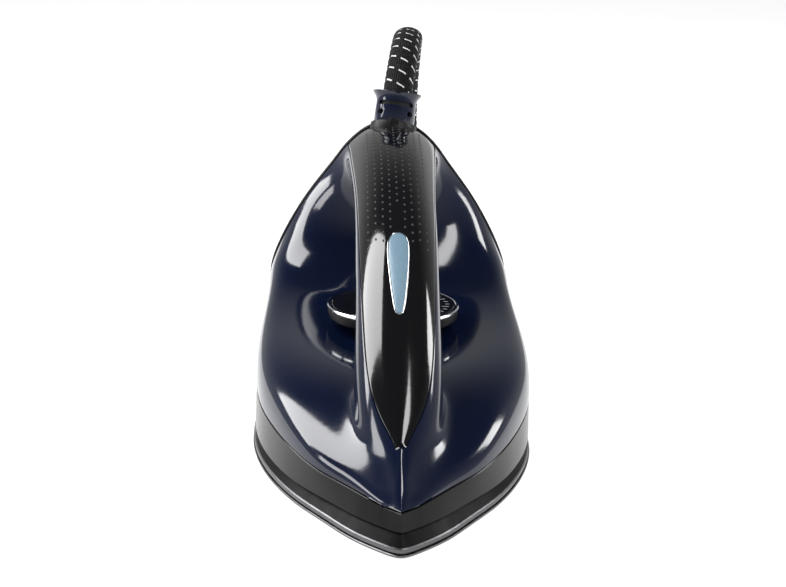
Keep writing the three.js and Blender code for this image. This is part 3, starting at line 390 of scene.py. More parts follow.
def catmull(points: Sequence[Vector], closed: bool, steps: int) -> list[Vector]:
    """Return a smooth curve through points.

    Args:
        points: the points it passes.
        closed: whether it returns to the first.
        steps: points for each stretch between two of them.

    Returns:
        The curve's points in order.
    """
    n = len(points)
    ends = [points[0] * 2 - points[1], *points, points[-1] * 2 - points[-2]]
    out: list[Vector] = []
    for i in range(n if closed else n - 1):
        p = [points[(i + k - 1) % n] if closed else ends[i + k] for k in range(4)]
        knots = [0.0]
        for a, b in zip(p, p[1:]):
            knots.append(knots[-1] + max(1e-9, (b - a).length) ** 0.5)
        for k in range(steps):
            t = knots[1] + (knots[2] - knots[1]) * k / steps
            a = [p[j].lerp(p[j + 1], (t - knots[j]) / (knots[j + 1] - knots[j])) for j in range(3)]
            b = [a[j].lerp(a[j + 1], (t - knots[j]) / (knots[j + 2] - knots[j])) for j in range(2)]
            out.append(b[0].lerp(b[1], (t - knots[1]) / (knots[2] - knots[1])))
    return out if closed else [*out, points[-1].copy()]


def evenly(points: Sequence[Vector], count: int, closed: bool) -> list[Vector]:
    """Return points at equal steps along a line of many points."""
    line = [*points, points[0]] if closed else list(points)
    reach = [0.0]
    for a, b in zip(line, line[1:]):
        reach.append(reach[-1] + (b - a).length)
    out, i = [], 0
    for k in range(count):
        target = reach[-1] * k / (count if closed else count - 1)
        while i < len(line) - 2 and reach[i + 1] < target:
            i += 1
        span = reach[i + 1] - reach[i] or 1.0
        out.append(line[i].lerp(line[i + 1], min(1.0, (target - reach[i]) / span)))
    return out


class Form:
    """A mesh under construction."""

    def __init__(self) -> None:
        """Start empty."""
        self.bm = bmesh.new()
        self.grid: dict[bmesh.types.BMVert, tuple[int, int]] = {}

    def net(
        self, rows: Sequence[Sequence[Vector]], wrap: bool = False, caps: bool = False,
        uv: Callable[[int, int], tuple[float, float]] | None = None,
    ) -> "Form":
        """Lay a grid of faces over rows of points.

        Args:
            rows: lines of points, each as long as the others.
            wrap: whether each row closes on itself.
            caps: whether the first and last rows are closed with a face.
            uv: gives the place on the UV map of a row and column.

        Returns:
            This form.
        """
        across = len(rows[0]) + (1 if wrap else 0)
        made = bmesh.ops.create_grid(self.bm, x_segments=across - 1, y_segments=len(rows) - 1, size=1)["verts"]
        made.sort(key=lambda v: (round(v.co.y, 6), round(v.co.x, 6)))
        self.grid = {vert: divmod(n, across) for n, vert in enumerate(made)}
        for vert, (row, column) in self.grid.items():
            vert.co = rows[row][column % len(rows[0])]
        if uv:
            layer = self.bm.loops.layers.uv.new("sleeve")
            for face in self.bm.faces:
                for loop in face.loops:
                    loop[layer].uv = uv(*self.grid[loop.vert])
        if wrap:
            bmesh.ops.remove_doubles(self.bm, verts=made, dist=1e-7)
        if caps:
            bmesh.ops.holes_fill(self.bm, edges=[e for e in self.bm.edges if e.is_boundary])
        return self

    def lathe(self, profile: Sequence[tuple[float, float]], steps: int, close: bool = True) -> "Form":
        """Spin a profile of radius and height, in millimetres, about Z.

        Args:
            profile: the corners, from one end to the other.
            steps: faces round the axis.
            close: whether the profile's last corner joins the first.

        Returns:
            This form.
        """
        verts = [self.bm.verts.new((r * MM, 0, z * MM)) for r, z in profile]
        pairs = list(zip(verts, verts[1:])) + ([(verts[-1], verts[0])] if close else [])
        edges = [self.bm.edges.new(pair) for pair in pairs]
        bmesh.ops.spin(
            self.bm, geom=[*verts, *edges], cent=(0, 0, 0), axis=(0, 0, 1), angle=2 * math.pi, steps=steps,
            use_merge=True,
        )
        bmesh.ops.remove_doubles(self.bm, verts=self.bm.verts, dist=1e-7)
        return self.outward()

    def block(self, low: Point, high: Point, corner: float = 0.0, segments: int = 2) -> "Form":
        """Add a box from its corners in millimetres, its edges rounded by a corner radius."""
        size = [b - a for a, b in zip(low, high)]
        middle = [(a + b) / 2 for a, b in zip(low, high)]
        place = Matrix.Translation(Vector(middle) * MM) @ Matrix.Diagonal((*(Vector(size) * MM), 1))
        made = bmesh.ops.create_cube(self.bm, size=1, matrix=place)["verts"]
        if corner:
            edges = list({e for v in made for e in v.link_edges})
            self.bevel(edges, corner, segments)
        return self

    def prism(self, outline: Sequence[tuple[float, float]], low: float, high: float) -> "Form":
        """Add a plate with a plan outline, from one height to another, in millimetres."""
        base = self.bm.faces.new([self.bm.verts.new((x * MM, y * MM, low * MM)) for x, y in outline])
        lifted = bmesh.ops.extrude_face_region(self.bm, geom=[base])["geom"]
        verts = [v for v in lifted if isinstance(v, bmesh.types.BMVert)]
        bmesh.ops.translate(self.bm, verts=verts, vec=(0, 0, (high - low) * MM))
        return self.outward()

    def bevel(self, edges: Iterable[bmesh.types.BMEdge], width: float, segments: int = 2) -> "Form":
        """Round edges by a width in millimetres."""
        bmesh.ops.bevel(
            self.bm, geom=list(edges), offset=width * MM, offset_type="OFFSET", segments=segments, profile=0.5,
            affect="EDGES", material=-1, clamp_overlap=True,
        )
        return self

    def sharp_edges(self, degrees: float) -> list[bmesh.types.BMEdge]:
        """Return the edges that turn by more than an angle."""
        return [e for e in self.bm.edges if len(e.link_faces) == 2 and e.calc_face_angle(0) > math.radians(degrees)]

    def move(self, matrix: Matrix) -> "Form":
        """Move the whole form."""
        bmesh.ops.transform(self.bm, matrix=matrix, verts=self.bm.verts)
        return self

    def outward(self) -> "Form":
        """Turn every face outwards."""
        bmesh.ops.recalc_face_normals(self.bm, faces=self.bm.faces)
        return self

    def add(self, other: "Form") -> "Form":
        """Take in another form's faces."""
        mesh = bpy.data.meshes.new("part")
        other.bm.to_mesh(mesh)
        self.bm.from_mesh(mesh)
        bpy.data.meshes.remove(mesh)
        return self

    def take(self, piece: bpy.types.Object) -> "Form":
        """Take in an object's faces and remove it."""
        self.bm.from_mesh(piece.data)
        bpy.data.objects.remove(piece)
        return self

    def object(self, name: str) -> bpy.types.Object:
        """Return the form as an object in the scene."""
        mesh = bpy.data.meshes.new(name)
        self.bm.to_mesh(mesh)
        self.bm.free()
        made = bpy.data.objects.new(name, mesh)
        bpy.context.scene.collection.objects.link(made)
        return made


def baked(piece: bpy.types.Object) -> bpy.types.Object:
    """Return the object with its modifiers applied to its mesh."""
    depsgraph = bpy.context.evaluated_depsgraph_get()
    mesh = bpy.data.meshes.new_from_object(piece.evaluated_get(depsgraph))
    piece.modifiers.clear()
    old, piece.data = piece.data, mesh
    bpy.data.meshes.remove(old)
    return piece


def carve(piece: bpy.types.Object, *tools: Form) -> bpy.types.Object:
    """Return the object with forms cut out of it."""
    cutters = [tool.object("cutter") for tool in tools]
    for cutter in cutters:
        made = piece.modifiers.new("cut", "BOOLEAN")
        made.operation, made.object, made.solver = "DIFFERENCE", cutter, "EXACT"
    baked(piece)
    for cutter in cutters:
        bpy.data.objects.remove(cutter)
    return piece


def soften(piece: bpy.types.Object, degrees: float = 35) -> bpy.types.Object:
    """Shade an object smooth except at edges sharper than an angle."""
    bm = bmesh.new()
    bm.from_mesh(piece.data)
    for face in bm.faces:
        face.smooth = True
    for edge in bm.edges:
        edge.smooth = len(edge.link_faces) == 2 and edge.calc_face_angle(0) < math.radians(degrees)
    bm.to_mesh(piece.data)
    bm.free()
    return piece


def dress(
    piece: bpy.types.Object, finish: Finish, body: Body, nodes: Sequence[str] = (), degrees: float = 35
) -> bpy.types.Object:
    """Give a piece its finish and its body, and hide the CAD nodes it stands for.

    Args:
        piece: the finished object.
        finish: what it is made of.
        body: the body it rides on.
        nodes: the CAD nodes it replaces.
        degrees: the angle past which an edge stays sharp.

    Returns:
        The piece.
    """
    soften(piece, degrees)
    piece.data.materials.clear()
    piece.data.materials.append(WARDROBE.of(finish))
    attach(piece, body.value)
    if nodes:
        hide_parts(*nodes)
    finish.slot
    LOG.info("%s: %d faces, on %s", piece.name, len(piece.data.polygons), body.value)
    return piece


# ---------------------------------------------------------------- camera, floor and lights


@dataclass(frozen=True)
class Viewpoint:
    """The camera, low in front of the nose."""

    target: Point = (0, 0.032, 0.0591)
    azimuth: float = -2
    elevation: float = 15
    roll: float = 1.5
    distance: float = 0.75
    lens: float = 77.95

    def build(self) -> bpy.types.Object:
        """Place the camera and make it the scene's."""
        az, el, roll = (math.radians(a) for a in (self.azimuth, self.elevation, self.roll))
        back = Vector((math.sin(az) * math.cos(el), -math.cos(az) * math.cos(el), math.sin(el)))
        level = Vector((0, 0, 1)).cross(back).normalized()
        upright = back.cross(level)
        right = level * math.cos(roll) + upright * math.sin(roll)
        up = back.cross(right)
        data = bpy.data.cameras.new("camera")
        data.lens = self.lens
        data.clip_start = 0.01
        camera = bpy.data.objects.new("camera", data)
        camera.matrix_world = Matrix.Translation(Vector(self.target) + back * self.distance) @ Matrix(
            (right, up, back)
        ).transposed().to_4x4()
        bpy.context.scene.collection.objects.link(camera)
        bpy.context.scene.camera = camera
        return camera


@dataclass(frozen=True)
class Softbox:
    """A rectangular studio light."""

    name: str
    place: Point
    aim: Point
    size: tuple[float, float]
    watts: float

    def build(self) -> None:
        """Hang the light and turn it to its aim."""
        light = bpy.data.lights.new(self.name, "AREA")
        light.shape = "RECTANGLE"
        light.size, light.size_y = self.size
        light.energy = self.watts
        lamp = bpy.data.objects.new(self.name, light)
        lamp.location = self.place
        lamp.rotation_euler = (Vector(self.aim) - Vector(self.place)).to_track_quat("-Z", "Y").to_euler()
        bpy.context.scene.collection.objects.link(lamp)


@dataclass
class Studio:
    """A pale floor under soft boxes, with a dim sky that brightens towards the horizon."""

    half_floor: float = 6.0
    glow: float = 0.82
    horizon: float = 0.5
    zenith: float = 0.06
    boxes: Sequence[Softbox] = (
        Softbox("strip left", (-0.92, 0.42, 1.0), (0, 0, 0.08), (0.62, 1.25), 26),
        Softbox("strip right", (0.58, -0.42, 1.0), (0, -0.05, 0.06), (0.2, 0.9), 7),
        Softbox("side left", (-1.35, -0.1, 0.55), (0, 0.0, 0.05), (0.4, 0.35), 4),
        Softbox("side right", (1.25, 0.5, 0.8), (0, 0.03, 0.05), (0.3, 0.5), 6),
    )

    def build(self) -> None:
        """Make the floor, the sky and the lights."""
        bpy.context.scene.view_settings.view_transform = "Standard"
        form = Form()
        bmesh.ops.create_grid(form.bm, x_segments=4, y_segments=4, size=self.half_floor)
        floor = form.object("floor")
        paint = Shading("floor paint")
        paint.set(Roughness=0.85, Specular_IOR_Level=0.2, Emission_Color=(1, 1, 1, 1), Emission_Strength=self.glow)
        paint.colour(paint.mix(paint.noise(3, 2), (0.5, 0.5, 0.5), (0.48, 0.48, 0.48)))
        floor.data.materials.append(paint.material)
        self.sky()
        for box in self.boxes:
            box.build()

    def sky(self) -> None:
        """Shade the world from a bright horizon to a dim zenith."""
        world = bpy.data.worlds.new("sky")
        bpy.context.scene.world = world
        world.use_nodes = True
        tree = world.node_tree
        coordinates = tree.nodes.new("ShaderNodeTexCoord")
        parts = tree.nodes.new("ShaderNodeSeparateXYZ")
        height = tree.nodes.new("ShaderNodeMapRange")
        for name, number in (
            ("From Min", 0.12), ("From Max", 0.75), ("To Min", self.horizon), ("To Max", self.zenith),
        ):
            height.inputs[name].default_value = number
        tree.links.new(coordinates.outputs["Generated"], parts.inputs["Vector"])
        tree.links.new(parts.outputs["Z"], height.inputs["Value"])
        tree.links.new(height.outputs["Result"], tree.nodes["Background"].inputs["Strength"])
        tree.nodes["Background"].inputs["Color"].default_value = (1, 1, 1, 1)


# ---------------------------------------------------------------- the hose


@dataclass
class Hose:
    """The braided hose and lead: up out of the gland, over the heel, and wound into a hank behind it.

    Sizes are in millimetres.
    """

    width: float = 14
    thick: float = 10.4
    floor: float = 5.4
    layer: float = 10.5
    arch: float = 54
    arch_y: float = 156.2
    arch_z: float = 103.1
    middle: float = 11
    near: float = 318
    far: float = 415
    bend: float = 42
    turns: int = 3
    sides: int = 24
    step: float = 1.25
    rib: float = 0.13
    rib_pitch: float = 3.65

    def over_heel(self, x: float, degrees: float) -> Point:
        """Return a point of the arch over the heel, at an angle from its start."""
        a = math.radians(degrees)
        return (x, self.arch_y - self.arch * math.cos(a), self.arch_z + self.arch * math.sin(a))

    def rise(self) -> list[Point]:
        """Return the stretch from the gland down to the table."""
        arch = [(0.9, 20.4), (2.5, 37), (5.6, 62), (7.8, 84), (9.2, 106), (9.6, 130), (9.4, 155), (9.6, 178)]
        down = [(12.6, 212, 82), (19, 217, 56), (28, 230, 29), (37.5, 248, 12), (43.8, 265.3, 6.5), (46, 275, 5.82)]
        entry = [(48.3, 285.1, self.floor), (51.8, 300, self.floor), (53, 336, self.floor)]
        return [(0.2, 103.5, 117), *(self.over_heel(x, a) for x, a in arch), *down, *entry]

    def wound(self) -> list[Point]:
        """Return the turns of the hank, up to where the tail leaves it."""
        points: list[Point] = []
        right, left = self.middle + self.bend, self.middle - self.bend
        for turn in range(self.turns):
            level = self.floor + turn * self.layer
            start = 355 if turn == 0 else self.near
            points += [(right, y, level) for y in range(int(start), int(self.far), 20)]
            for k in range(13):
                a = math.pi * k / 12
                points.append((self.middle + self.bend * math.cos(a), self.far + self.bend * math.sin(a), level))
            if turn == self.turns - 1:
                break
            points += [(left, y, level) for y in (395, 375, 356, 337)]
            for k in range(12):
                a = math.pi * k / 12
                up = smoothstep(k / 12, 0.1, 0.9) * self.layer
                points.append(
                    (self.middle - self.bend * math.cos(a), self.near - self.bend * math.sin(a), level + up)
                )
        return points

    def tail(self) -> list[Point]:
        """Return the end that crosses the hank to the coupling."""
        return [
            (-31, 391.6, 26.4), (-31, 382, 26.5), (-27, 368, 28), (-15, 353, 33), (0, 340, 38), (5, 328, 39.4),
            (5, 318, 39.5),
        ]

    def centres(self) -> list[Vector]:
        """Return the centre of every ring of the sleeve."""
        line = catmull(vectors([*self.rise(), *self.wound(), *self.tail()]), False, 12)
        length = sum((b - a).length for a, b in zip(line, line[1:]))
        return evenly(line, round(length / (self.step * MM)) + 1, False)

    def rings(self, line: Sequence[Vector]) -> list[list[Vector]]:
        """Return the oval ring at each centre, its long axis level."""
        out, across, along = [], Vector((1, 0, 0)), 0.0
        for i, centre in enumerate(line):
            tangent = (line[min(i + 1, len(line) - 1)] - line[max(i - 1, 0)]).normalized()
            across = (across - tangent * across.dot(tangent)).normalized()
            level = tangent.cross(Vector((0, 0, 1)))
            share = smoothstep(level.length, 0.45, 0.9)
            if share:
                across = across.lerp(level.normalized() * math.copysign(1, across.dot(level)), share).normalized()
            other = tangent.cross(across)
            grow = 1 + self.rib / self.thick * 2 * math.cos(2 * math.pi * along / self.rib_pitch)
            half, deep = self.width / 2 * MM * grow, self.thick / 2 * MM * grow
            out.append([
                centre + across * half * math.cos(a) + other * deep * math.sin(a)
                for a in (2 * math.pi * k / self.sides for k in range(self.sides))
            ])
            along += self.step
        return out

    def build(self, coupling: Sequence[bpy.types.Object]) -> bpy.types.Object:
        line = self.centres()
        form = Form().net(
            self.rings(line), wrap=True, caps=True,
            uv=lambda row, column: (column / self.sides, row * self.step * MM),
        )
        sleeve = form.outward().object("hose_sleeve")
        dress(sleeve, Finish.BRAID, Body.IRON, ["cord_rise", "cord_hank", "cord_tail"], 80)
        return sleeve


@dataclass
class Tie:
    """The strap round one run of the hank."""

    low_y: float = 352
    high_y: float = 371
    left: float = 46.1
    right: float = 59.9
    top: float = 31.5
    cloth: float = 1.15

    def build(self) -> None:
        """Make the closed band with its overlapping end."""
        rows = []
        for inset, y in ((0, self.low_y), (0, self.high_y), (self.cloth, self.high_y), (self.cloth, self.low_y)):
            middle = ((self.left + self.right) / 2, (0.3 + self.top) / 2)
            size = (self.right - self.left - 2 * inset, self.top - 0.3 - 2 * inset)
            rows.append([
                Vector((middle[0] + x, y, middle[1] + z)) * MM for x, z in rounded(size, max(0.4, 3.4 - inset))
            ])
        band = Form().net([*rows, rows[0]], wrap=True)
        low, high = (self.right - 0.35, self.low_y + 1.5, 9), (self.right + 0.75, self.high_y - 1.5, 25)
        flap = Form().block(low, high, 0.4)
        dress(band.add(flap).outward().object("tie_band"), Finish.BLACK, Body.IRON, ["cord_tie"])


def rounded(size: tuple[float, float], corner: float, steps: int = 6) -> list[tuple[float, float]]:
    """Return a rounded rectangle's outline about the origin, anticlockwise."""
    out = []
    for sx, sy, start in ((1, 1, 0), (-1, 1, 90), (-1, -1, 180), (1, -1, 270)):
        for k in range(steps + 1):
            a = math.radians(start + 90 * k / steps)
            out.append((
                sx * (size[0] / 2 - corner) + corner * math.cos(a),
                sy * (size[1] / 2 - corner) + corner * math.sin(a),
            ))
    return out


@dataclass
class Coupling:
    """The steam and power coupling on the hose's far end: boot, body, contacts and nozzle."""

    place: Matrix = field(
        default_factory=lambda: Matrix.Translation(Vector((5, 317.6, 39.5)) * MM) @ Matrix.Rotation(math.pi / 2, 4, "X")
    )

    def loft(self, sections: Sequence[tuple[float, float, float, float]]) -> Form:
        """Return a lofted solid over rounded rectangles, each a width, height, corner and station."""
        rows = [vectors((x, y, z) for x, y in rounded((w, h), c)) for w, h, c, z in sections]
        return Form().net(rows, wrap=True, caps=True).outward()

    def build(self) -> list[bpy.types.Object]:
        """Make the four pieces and return them."""
        ribs = [(16.4 + k * 0.8, 13.4 + k * 0.8, 5) for k in range(5)]
        boot = [(15.6, 12.6, 5, 0)]
        for k, (w, h, c) in enumerate(ribs):
            z = 1 + k * 3.2
            thin = (w - 1.4, h - 1.4, c - 0.6)
            boot += [(w, h, c, z), (w, h, c, z + 1.7), (*thin, z + 2.1), (*thin, z + 2.8)]
        boot += [(20, 16.4, 6, 17.4), (22, 18, 6, 20), (22, 18, 6, 22)]
        made = [self.finish(self.loft(boot), "coupling_sleeve", Finish.RUBBER, "coupling_boot")]
        body = [(23, 18, 5.6, 22.3), (24.4, 19.2, 6, 22.9), (31.4, 21.8, 6, 26.6), (32, 22, 6, 27.4)]
        for z in (31, 34.5, 38, 41.5):
            full, waist = (32.3, 22.2, 6), (31.3, 21.2, 5.6)
            body += [(*full, z), (*waist, z + 0.4), (*waist, z + 1.1), (*full, z + 1.5)]
        body += [(33, 22.6, 6, 45.4), (32, 22, 6, 46.3), (29, 20, 5, 47), (29, 20, 5, 53.5), (28.2, 19.2, 4.7, 54)]
        latch = Form().block((-5, 10.4, 30), (5, 12.6, 44), 0.8, 3)
        made.append(self.finish(self.loft(body).add(latch), "coupling_shell", Finish.NAVY, "coupling_body"))
        plate = Form().block((-11.5, -6.5, 54.3), (1.5, 6.5, 55.6), 0.4)
        for x, y in ((-9, 3), (-1, 3), (-5, -3.5)):
            pin = Form().lathe([(0, 55.4), (1.2, 55.4), (1.2, 62.2), (0.7, 63), (0, 63)], 16, False)
            plate.add(pin.move(Matrix.Translation(Vector((x, y, 0)) * MM)))
        made.append(self.finish(plate, "coupling_pins", Finish.BRASS, "coupling_contacts"))
        profile = [
            (1.8, 54.3), (4.6, 54.3), (4.6, 56.8), (3.6, 57.3), (3.4, 60), (2.9, 60.2), (2.9, 61.4), (3.4, 61.6),
            (3.4, 64.5), (3, 65), (1.8, 65),
        ]
        spout = Form().lathe(profile, 32).move(Matrix.Translation((8.5 * MM, 0, 0)))
        made.append(self.finish(spout, "coupling_spout", Finish.CHROME, "coupling_nozzle"))
        return made

    def finish(self, form: Form, name: str, finish: Finish, node: str) -> bpy.types.Object:
        """Place a form on the coupling's axis and dress it."""
        return dress(form.move(self.place).outward().object(name), finish, Body.IRON, [node], 40)


# ---------------------------------------------------------------- the body's skin

# Eleven rails run from nose to heel on the right-hand side: a the lower seam, b the side wall, c the shoulder, d the
# deck, e the middle of the deck, f the grip's underside, g and h its side, i the seam of the black grip cover, j the
# crown's flank, k the crown. Each row is one station, and each entry is x, y and z in millimetres.
CAGE = (
    ((6.2, -109, 16), (5.6, -109.6, 16), (5, -110.2, 16), (4.4, -110.8, 16), (3.8, -111.4, 16), (3.2, -112, 16),
     (2.6, -112.6, 16), (1.9, -113.3, 16), (1.3, -113.9, 16), (0.6, -114.6, 16), (0, -115.2, 16)),
    ((8.8, -106.5, 16.5), (8, -107.2, 17), (7.1, -107.7, 17.5), (6, -108.2, 18), (4.8, -108.6, 18.5),
     (3.7, -109, 19), (2.8, -109.3, 19.5), (2, -109.6, 19.9), (1.3, -109.8, 20.2), (0.7, -109.9, 20.4),
     (0, -110, 20.5)),
    ((15, -99, 17.2), (14, -99.7, 18.8), (12.2, -100.5, 19.8), (10, -101.3, 20.6), (7.6, -102, 21.6),
     (5.6, -102.6, 22.6), (4, -103, 23.8), (2.7, -103.2, 25), (1.7, -103.4, 25.8), (0.9, -103.5, 26.3),
     (0, -103.5, 26.5)),
    ((22, -91, 18.2), (21, -91.3, 20.8), (18.5, -92, 22.8), (14.5, -92.8, 24.4), (10.8, -93.6, 26.3),
     (7.8, -94.2, 28.3), (5.2, -94.6, 30.5), (3, -94.8, 32.4), (0.3, -95, 33.4), (0.15, -95, 33.7), (0, -95, 33.8)),
    ((30.8, -82, 19.3), (30.2, -82, 22.5), (27.5, -82.2, 25), (23, -82.6, 26.6), (19, -83, 28), (16, -83.4, 30),
     (14, -83.6, 32.8), (12, -83.8, 36.8), (7.8, -84, 41), (4.4, -84, 42.9), (0, -84, 43.5)),
    ((38.6, -69, 20.8), (38, -69, 26.5), (34, -68.5, 30.2), (26.5, -68, 32.4), (21, -67.5, 33.8),
     (18, -67.5, 36.2), (17.4, -68, 40.5), (16.4, -68.5, 46), (12.8, -69.3, 51.2), (7, -69.8, 54), (0, -70, 55)),
    ((45.6, -54, 22.2), (45.2, -54, 30.5), (39.5, -53, 35.8), (27, -52, 38.6), (20, -50, 40.8), (17.8, -48, 44.5),
     (17.8, -47, 50), (17.9, -48, 57.4), (14.4, -52, 63), (8.3, -54.6, 65.9), (0, -55, 67)),
    ((51.6, -37, 23.6), (51.4, -37, 33.5), (45, -37.5, 40), (26, -38, 42), (0, -40, 44.5), (0, -29, 55),
     (14.8, -27, 61), (18, -30.5, 68.2), (15.6, -34.6, 74.5), (8.9, -37.4, 78.3), (0, -38, 79.5)),
    ((56.4, -19, 25), (56.5, -19, 36.3), (50, -19.5, 43.2), (28, -20, 44), (0, -21, 43.8), (0, -7.2, 68.9),
     (12.9, -8.8, 71.6), (18, -12.5, 78), (16.5, -16.2, 84.5), (9.3, -19.3, 89.8), (0, -20, 91)),
    ((58.6, 2, 27), (59, 2, 38.6), (53, 3, 45.6), (28.5, 3, 44.8), (0, 3, 43.8), (0, 11, 79.5), (12.9, 9.9, 81.8),
     (17.8, 7.2, 87.2), (17.4, 4.2, 93.5), (9.7, 0.8, 100.6), (0, 0, 102)),
    ((59.2, 27, 29.5), (59.3, 27, 41), (53.4, 28, 47.6), (29, 28, 45.6), (0, 28, 44.5), (0, 30.1, 87.4),
     (12.4, 29.4, 89.4), (17.4, 27.9, 94), (18.2, 25.7, 100.1), (10, 22.7, 109.6), (0, 22, 111)),
    ((58.8, 50, 32), (58.4, 50, 43.5), (53.2, 51, 50.6), (30, 51, 47), (0, 52, 45.8), (0, 51.2, 93),
     (12.4, 50.8, 95), (17.8, 49.8, 99.4), (19.4, 48.6, 105.3), (10.8, 46.4, 116), (0, 46, 117.5)),
    ((58, 70, 35), (57.4, 70, 46.3), (53, 69, 54), (32.5, 70, 51.5), (0, 71, 50.5), (0, 71.2, 95.2),
     (13.4, 70.8, 97.7), (19.2, 70.2, 102.6), (20.6, 69.5, 108.3), (11.5, 68.2, 119.5), (0, 68, 121)),
    ((57.3, 87, 38), (57, 86, 49.3), (53.2, 84.5, 57.6), (36.5, 83, 60.8), (0, 83.5, 70), (0, 84.5, 88.5),
     (15.5, 85.5, 97.8), (20, 87, 104.4), (21.4, 88.5, 110.6), (12, 88, 121.3), (0, 88, 123)),
    ((56.8, 100, 40.5), (57.8, 98, 51.5), (52.5, 96.5, 62.5), (42.5, 95.5, 71.5), (35.5, 95.5, 81), (30, 96, 90),
     (26, 97, 98), (22.8, 98, 104.5), (21.6, 99.5, 111.4), (12.2, 100.5, 121), (0, 101, 123.6)),
    ((56.5, 108, 42), (56.4, 108, 53), (51.8, 108, 65), (45.5, 108, 77), (40, 108, 86), (35, 108, 93),
     (30, 108, 99.5), (25.5, 108, 105.5), (21.8, 108, 111.2), (12.2, 108, 120.6), (0, 108, 123.6)),
)


class Shell(Enum):
    """The two mouldings that share the skin, as material numbers of the cage's faces."""

    MAIN = 0
    COVER = 1


@dataclass
class Skin:
    """The outer surface of the body, smoothed from the cage."""

    opening_rail: int = 4
    opening: tuple[int, int] = (7, 13)
    cover_rail: int = 8
    cover_station: int = 3
    levels: int = 3
    wall: float = 0.002
    gap: float = 0.0002
    arch_y: float = 0.1076
    keel: float = -90

    def __post_init__(self) -> None:
        """Smooth the cage, and keep a tree of it for finding heights."""
        form = Form().net([vectors(row) for row in CAGE])
        for face in list(form.bm.faces):
            station = min(form.grid[v][0] for v in face.verts)
            rail = min(form.grid[v][1] for v in face.verts)
            face.material_index = int(rail >= self.cover_rail and station >= self.cover_station)
            if rail == self.opening_rail and self.opening[0] <= station < self.opening[1]:
                form.bm.faces.remove(face)
        bmesh.ops.mirror(form.bm, geom=[*form.bm.verts, *form.bm.edges, *form.bm.faces], axis="X", merge_dist=1e-6)
        bmesh.ops.remove_doubles(form.bm, verts=form.bm.verts, dist=1e-7)
        bmesh.ops.delete(form.bm, geom=[v for v in form.bm.verts if not v.link_faces], context="VERTS")
        form.outward()
        crease = form.bm.edges.layers.float.new("crease_edge")
        for edge in form.bm.edges:
            if all(abs(v.co.x) < 1e-6 and v.co.y < self.keel * MM for v in edge.verts):
                edge[crease] = 0.85
        corner = form.bm.verts.layers.float.new("crease_vert")
        tip = min(form.bm.verts, key=lambda v: v.co.y)
        tip[corner] = 1
        cage = form.object("skin")
        for name in ("main", "cover"):
            cage.data.materials.append(bpy.data.materials.new(name))
        smooth = cage.modifiers.new("smooth", "SUBSURF")
        smooth.levels = smooth.render_levels = self.levels
        baked(cage)
        self.bm = bmesh.new()
        self.bm.from_mesh(cage.data)
        bpy.data.objects.remove(cage)
        self.tree = BVHTree.FromBMesh(self.bm)

    def free_edge(self) -> list[Vector]:
        """Return the one free edge, walked once round."""
        after = {}
        for edge in self.bm.edges:
            if edge.is_boundary:
                loop = edge.link_loops[0]
                after[loop.vert] = loop.link_loop_next.vert
        walk = [next(iter(after))]
        while after[walk[-1]] is not walk[0]:
            walk.append(after[walk[-1]])
        return [v.co.copy() for v in walk]

    def split_edge(self) -> tuple[list[Vector], list[Vector]]:
        """Return the lower seam and the heel's arch, each walked from the right-hand side."""
        walk = self.free_edge()
        on_arch = [p.y > self.arch_y for p in walk]
        start = next(i for i in range(len(walk)) if not on_arch[i] and on_arch[i - 1])
        walk, on_arch = walk[start:] + walk[:start], on_arch[start:] + on_arch[:start]
        seam = [p for p, arch in zip(walk, on_arch) if not arch]
        arch = [p for p, arch in zip(walk, on_arch) if arch]
        if seam[0].x < 0:
            seam.reverse()
        if arch[0].x < 0:
            arch.reverse()
        return seam, arch

    def shell(self, which: Shell, name: str) -> bpy.types.Object:
        """Return one moulding: its share of the skin, drawn in at the seams, with its wall and softened rims.

        Args:
            which: the moulding.
            name: the object's name.

        Returns:
            The moulding as an object.
        """
        form = Form()
        form.bm = self.bm.copy()
        others = [f for f in form.bm.faces if f.material_index != which.value]
        bmesh.ops.delete(form.bm, geom=others, context="FACES")
        moves = {}
        for vert in form.bm.verts:
            if vert.is_boundary:
                middle = sum((f.calc_center_median() for f in vert.link_faces), Vector()) / len(vert.link_faces)
                moves[vert] = (middle - vert.co).normalized() * self.gap
        for vert, move in moves.items():
            vert.co += move
        for face in form.bm.faces:
            face.material_index = 0
        piece = form.object(name)
        wall = piece.modifiers.new("wall", "SOLIDIFY")
        wall.thickness, wall.offset = self.wall, -1
        wall.use_even_offset = False
        thick = piece.vertex_groups.new(name="thick")
        for vert in piece.data.vertices:
            thick.add([vert.index], smoothstep(vert.co.y / MM, -113, -78), "REPLACE")
        wall.vertex_group, wall.thickness_vertex_group = thick.name, 0.08
        rim = piece.modifiers.new("rim", "BEVEL")
        rim.limit_method, rim.angle_limit = "ANGLE", math.radians(60)
        rim.width, rim.segments, rim.use_clamp_overlap = 0.00035, 2, True
        rim.vertex_group = thick.name
        return baked(piece)

    def above(self, place: Matrix, x: float, y: float) -> float:
        """Return the skin's height over a frame's plane at x, y there, all in metres."""
        start = place @ Vector((x, y, 0.04))
        down = (place.to_3x3() @ Vector((0, 0, -1))).normalized()
        hit = self.tree.ray_cast(start, down)[0]
        return (place.inverted() @ hit).z if hit else 0.0


# ---------------------------------------------------------------- sole and heat shield

SOLE_HALF = (
    (0, -120.5), (3, -119.4), (9.3, -113.9), (18.5, -103.6), (29.2, -87), (40, -69), (48.5, -50), (54.9, -29.6),
    (58.8, -8), (60, 15), (59.6, 42), (57.5, 68), (53.5, 88), (46.5, 98.5), (36, 103), (0, 104),
)


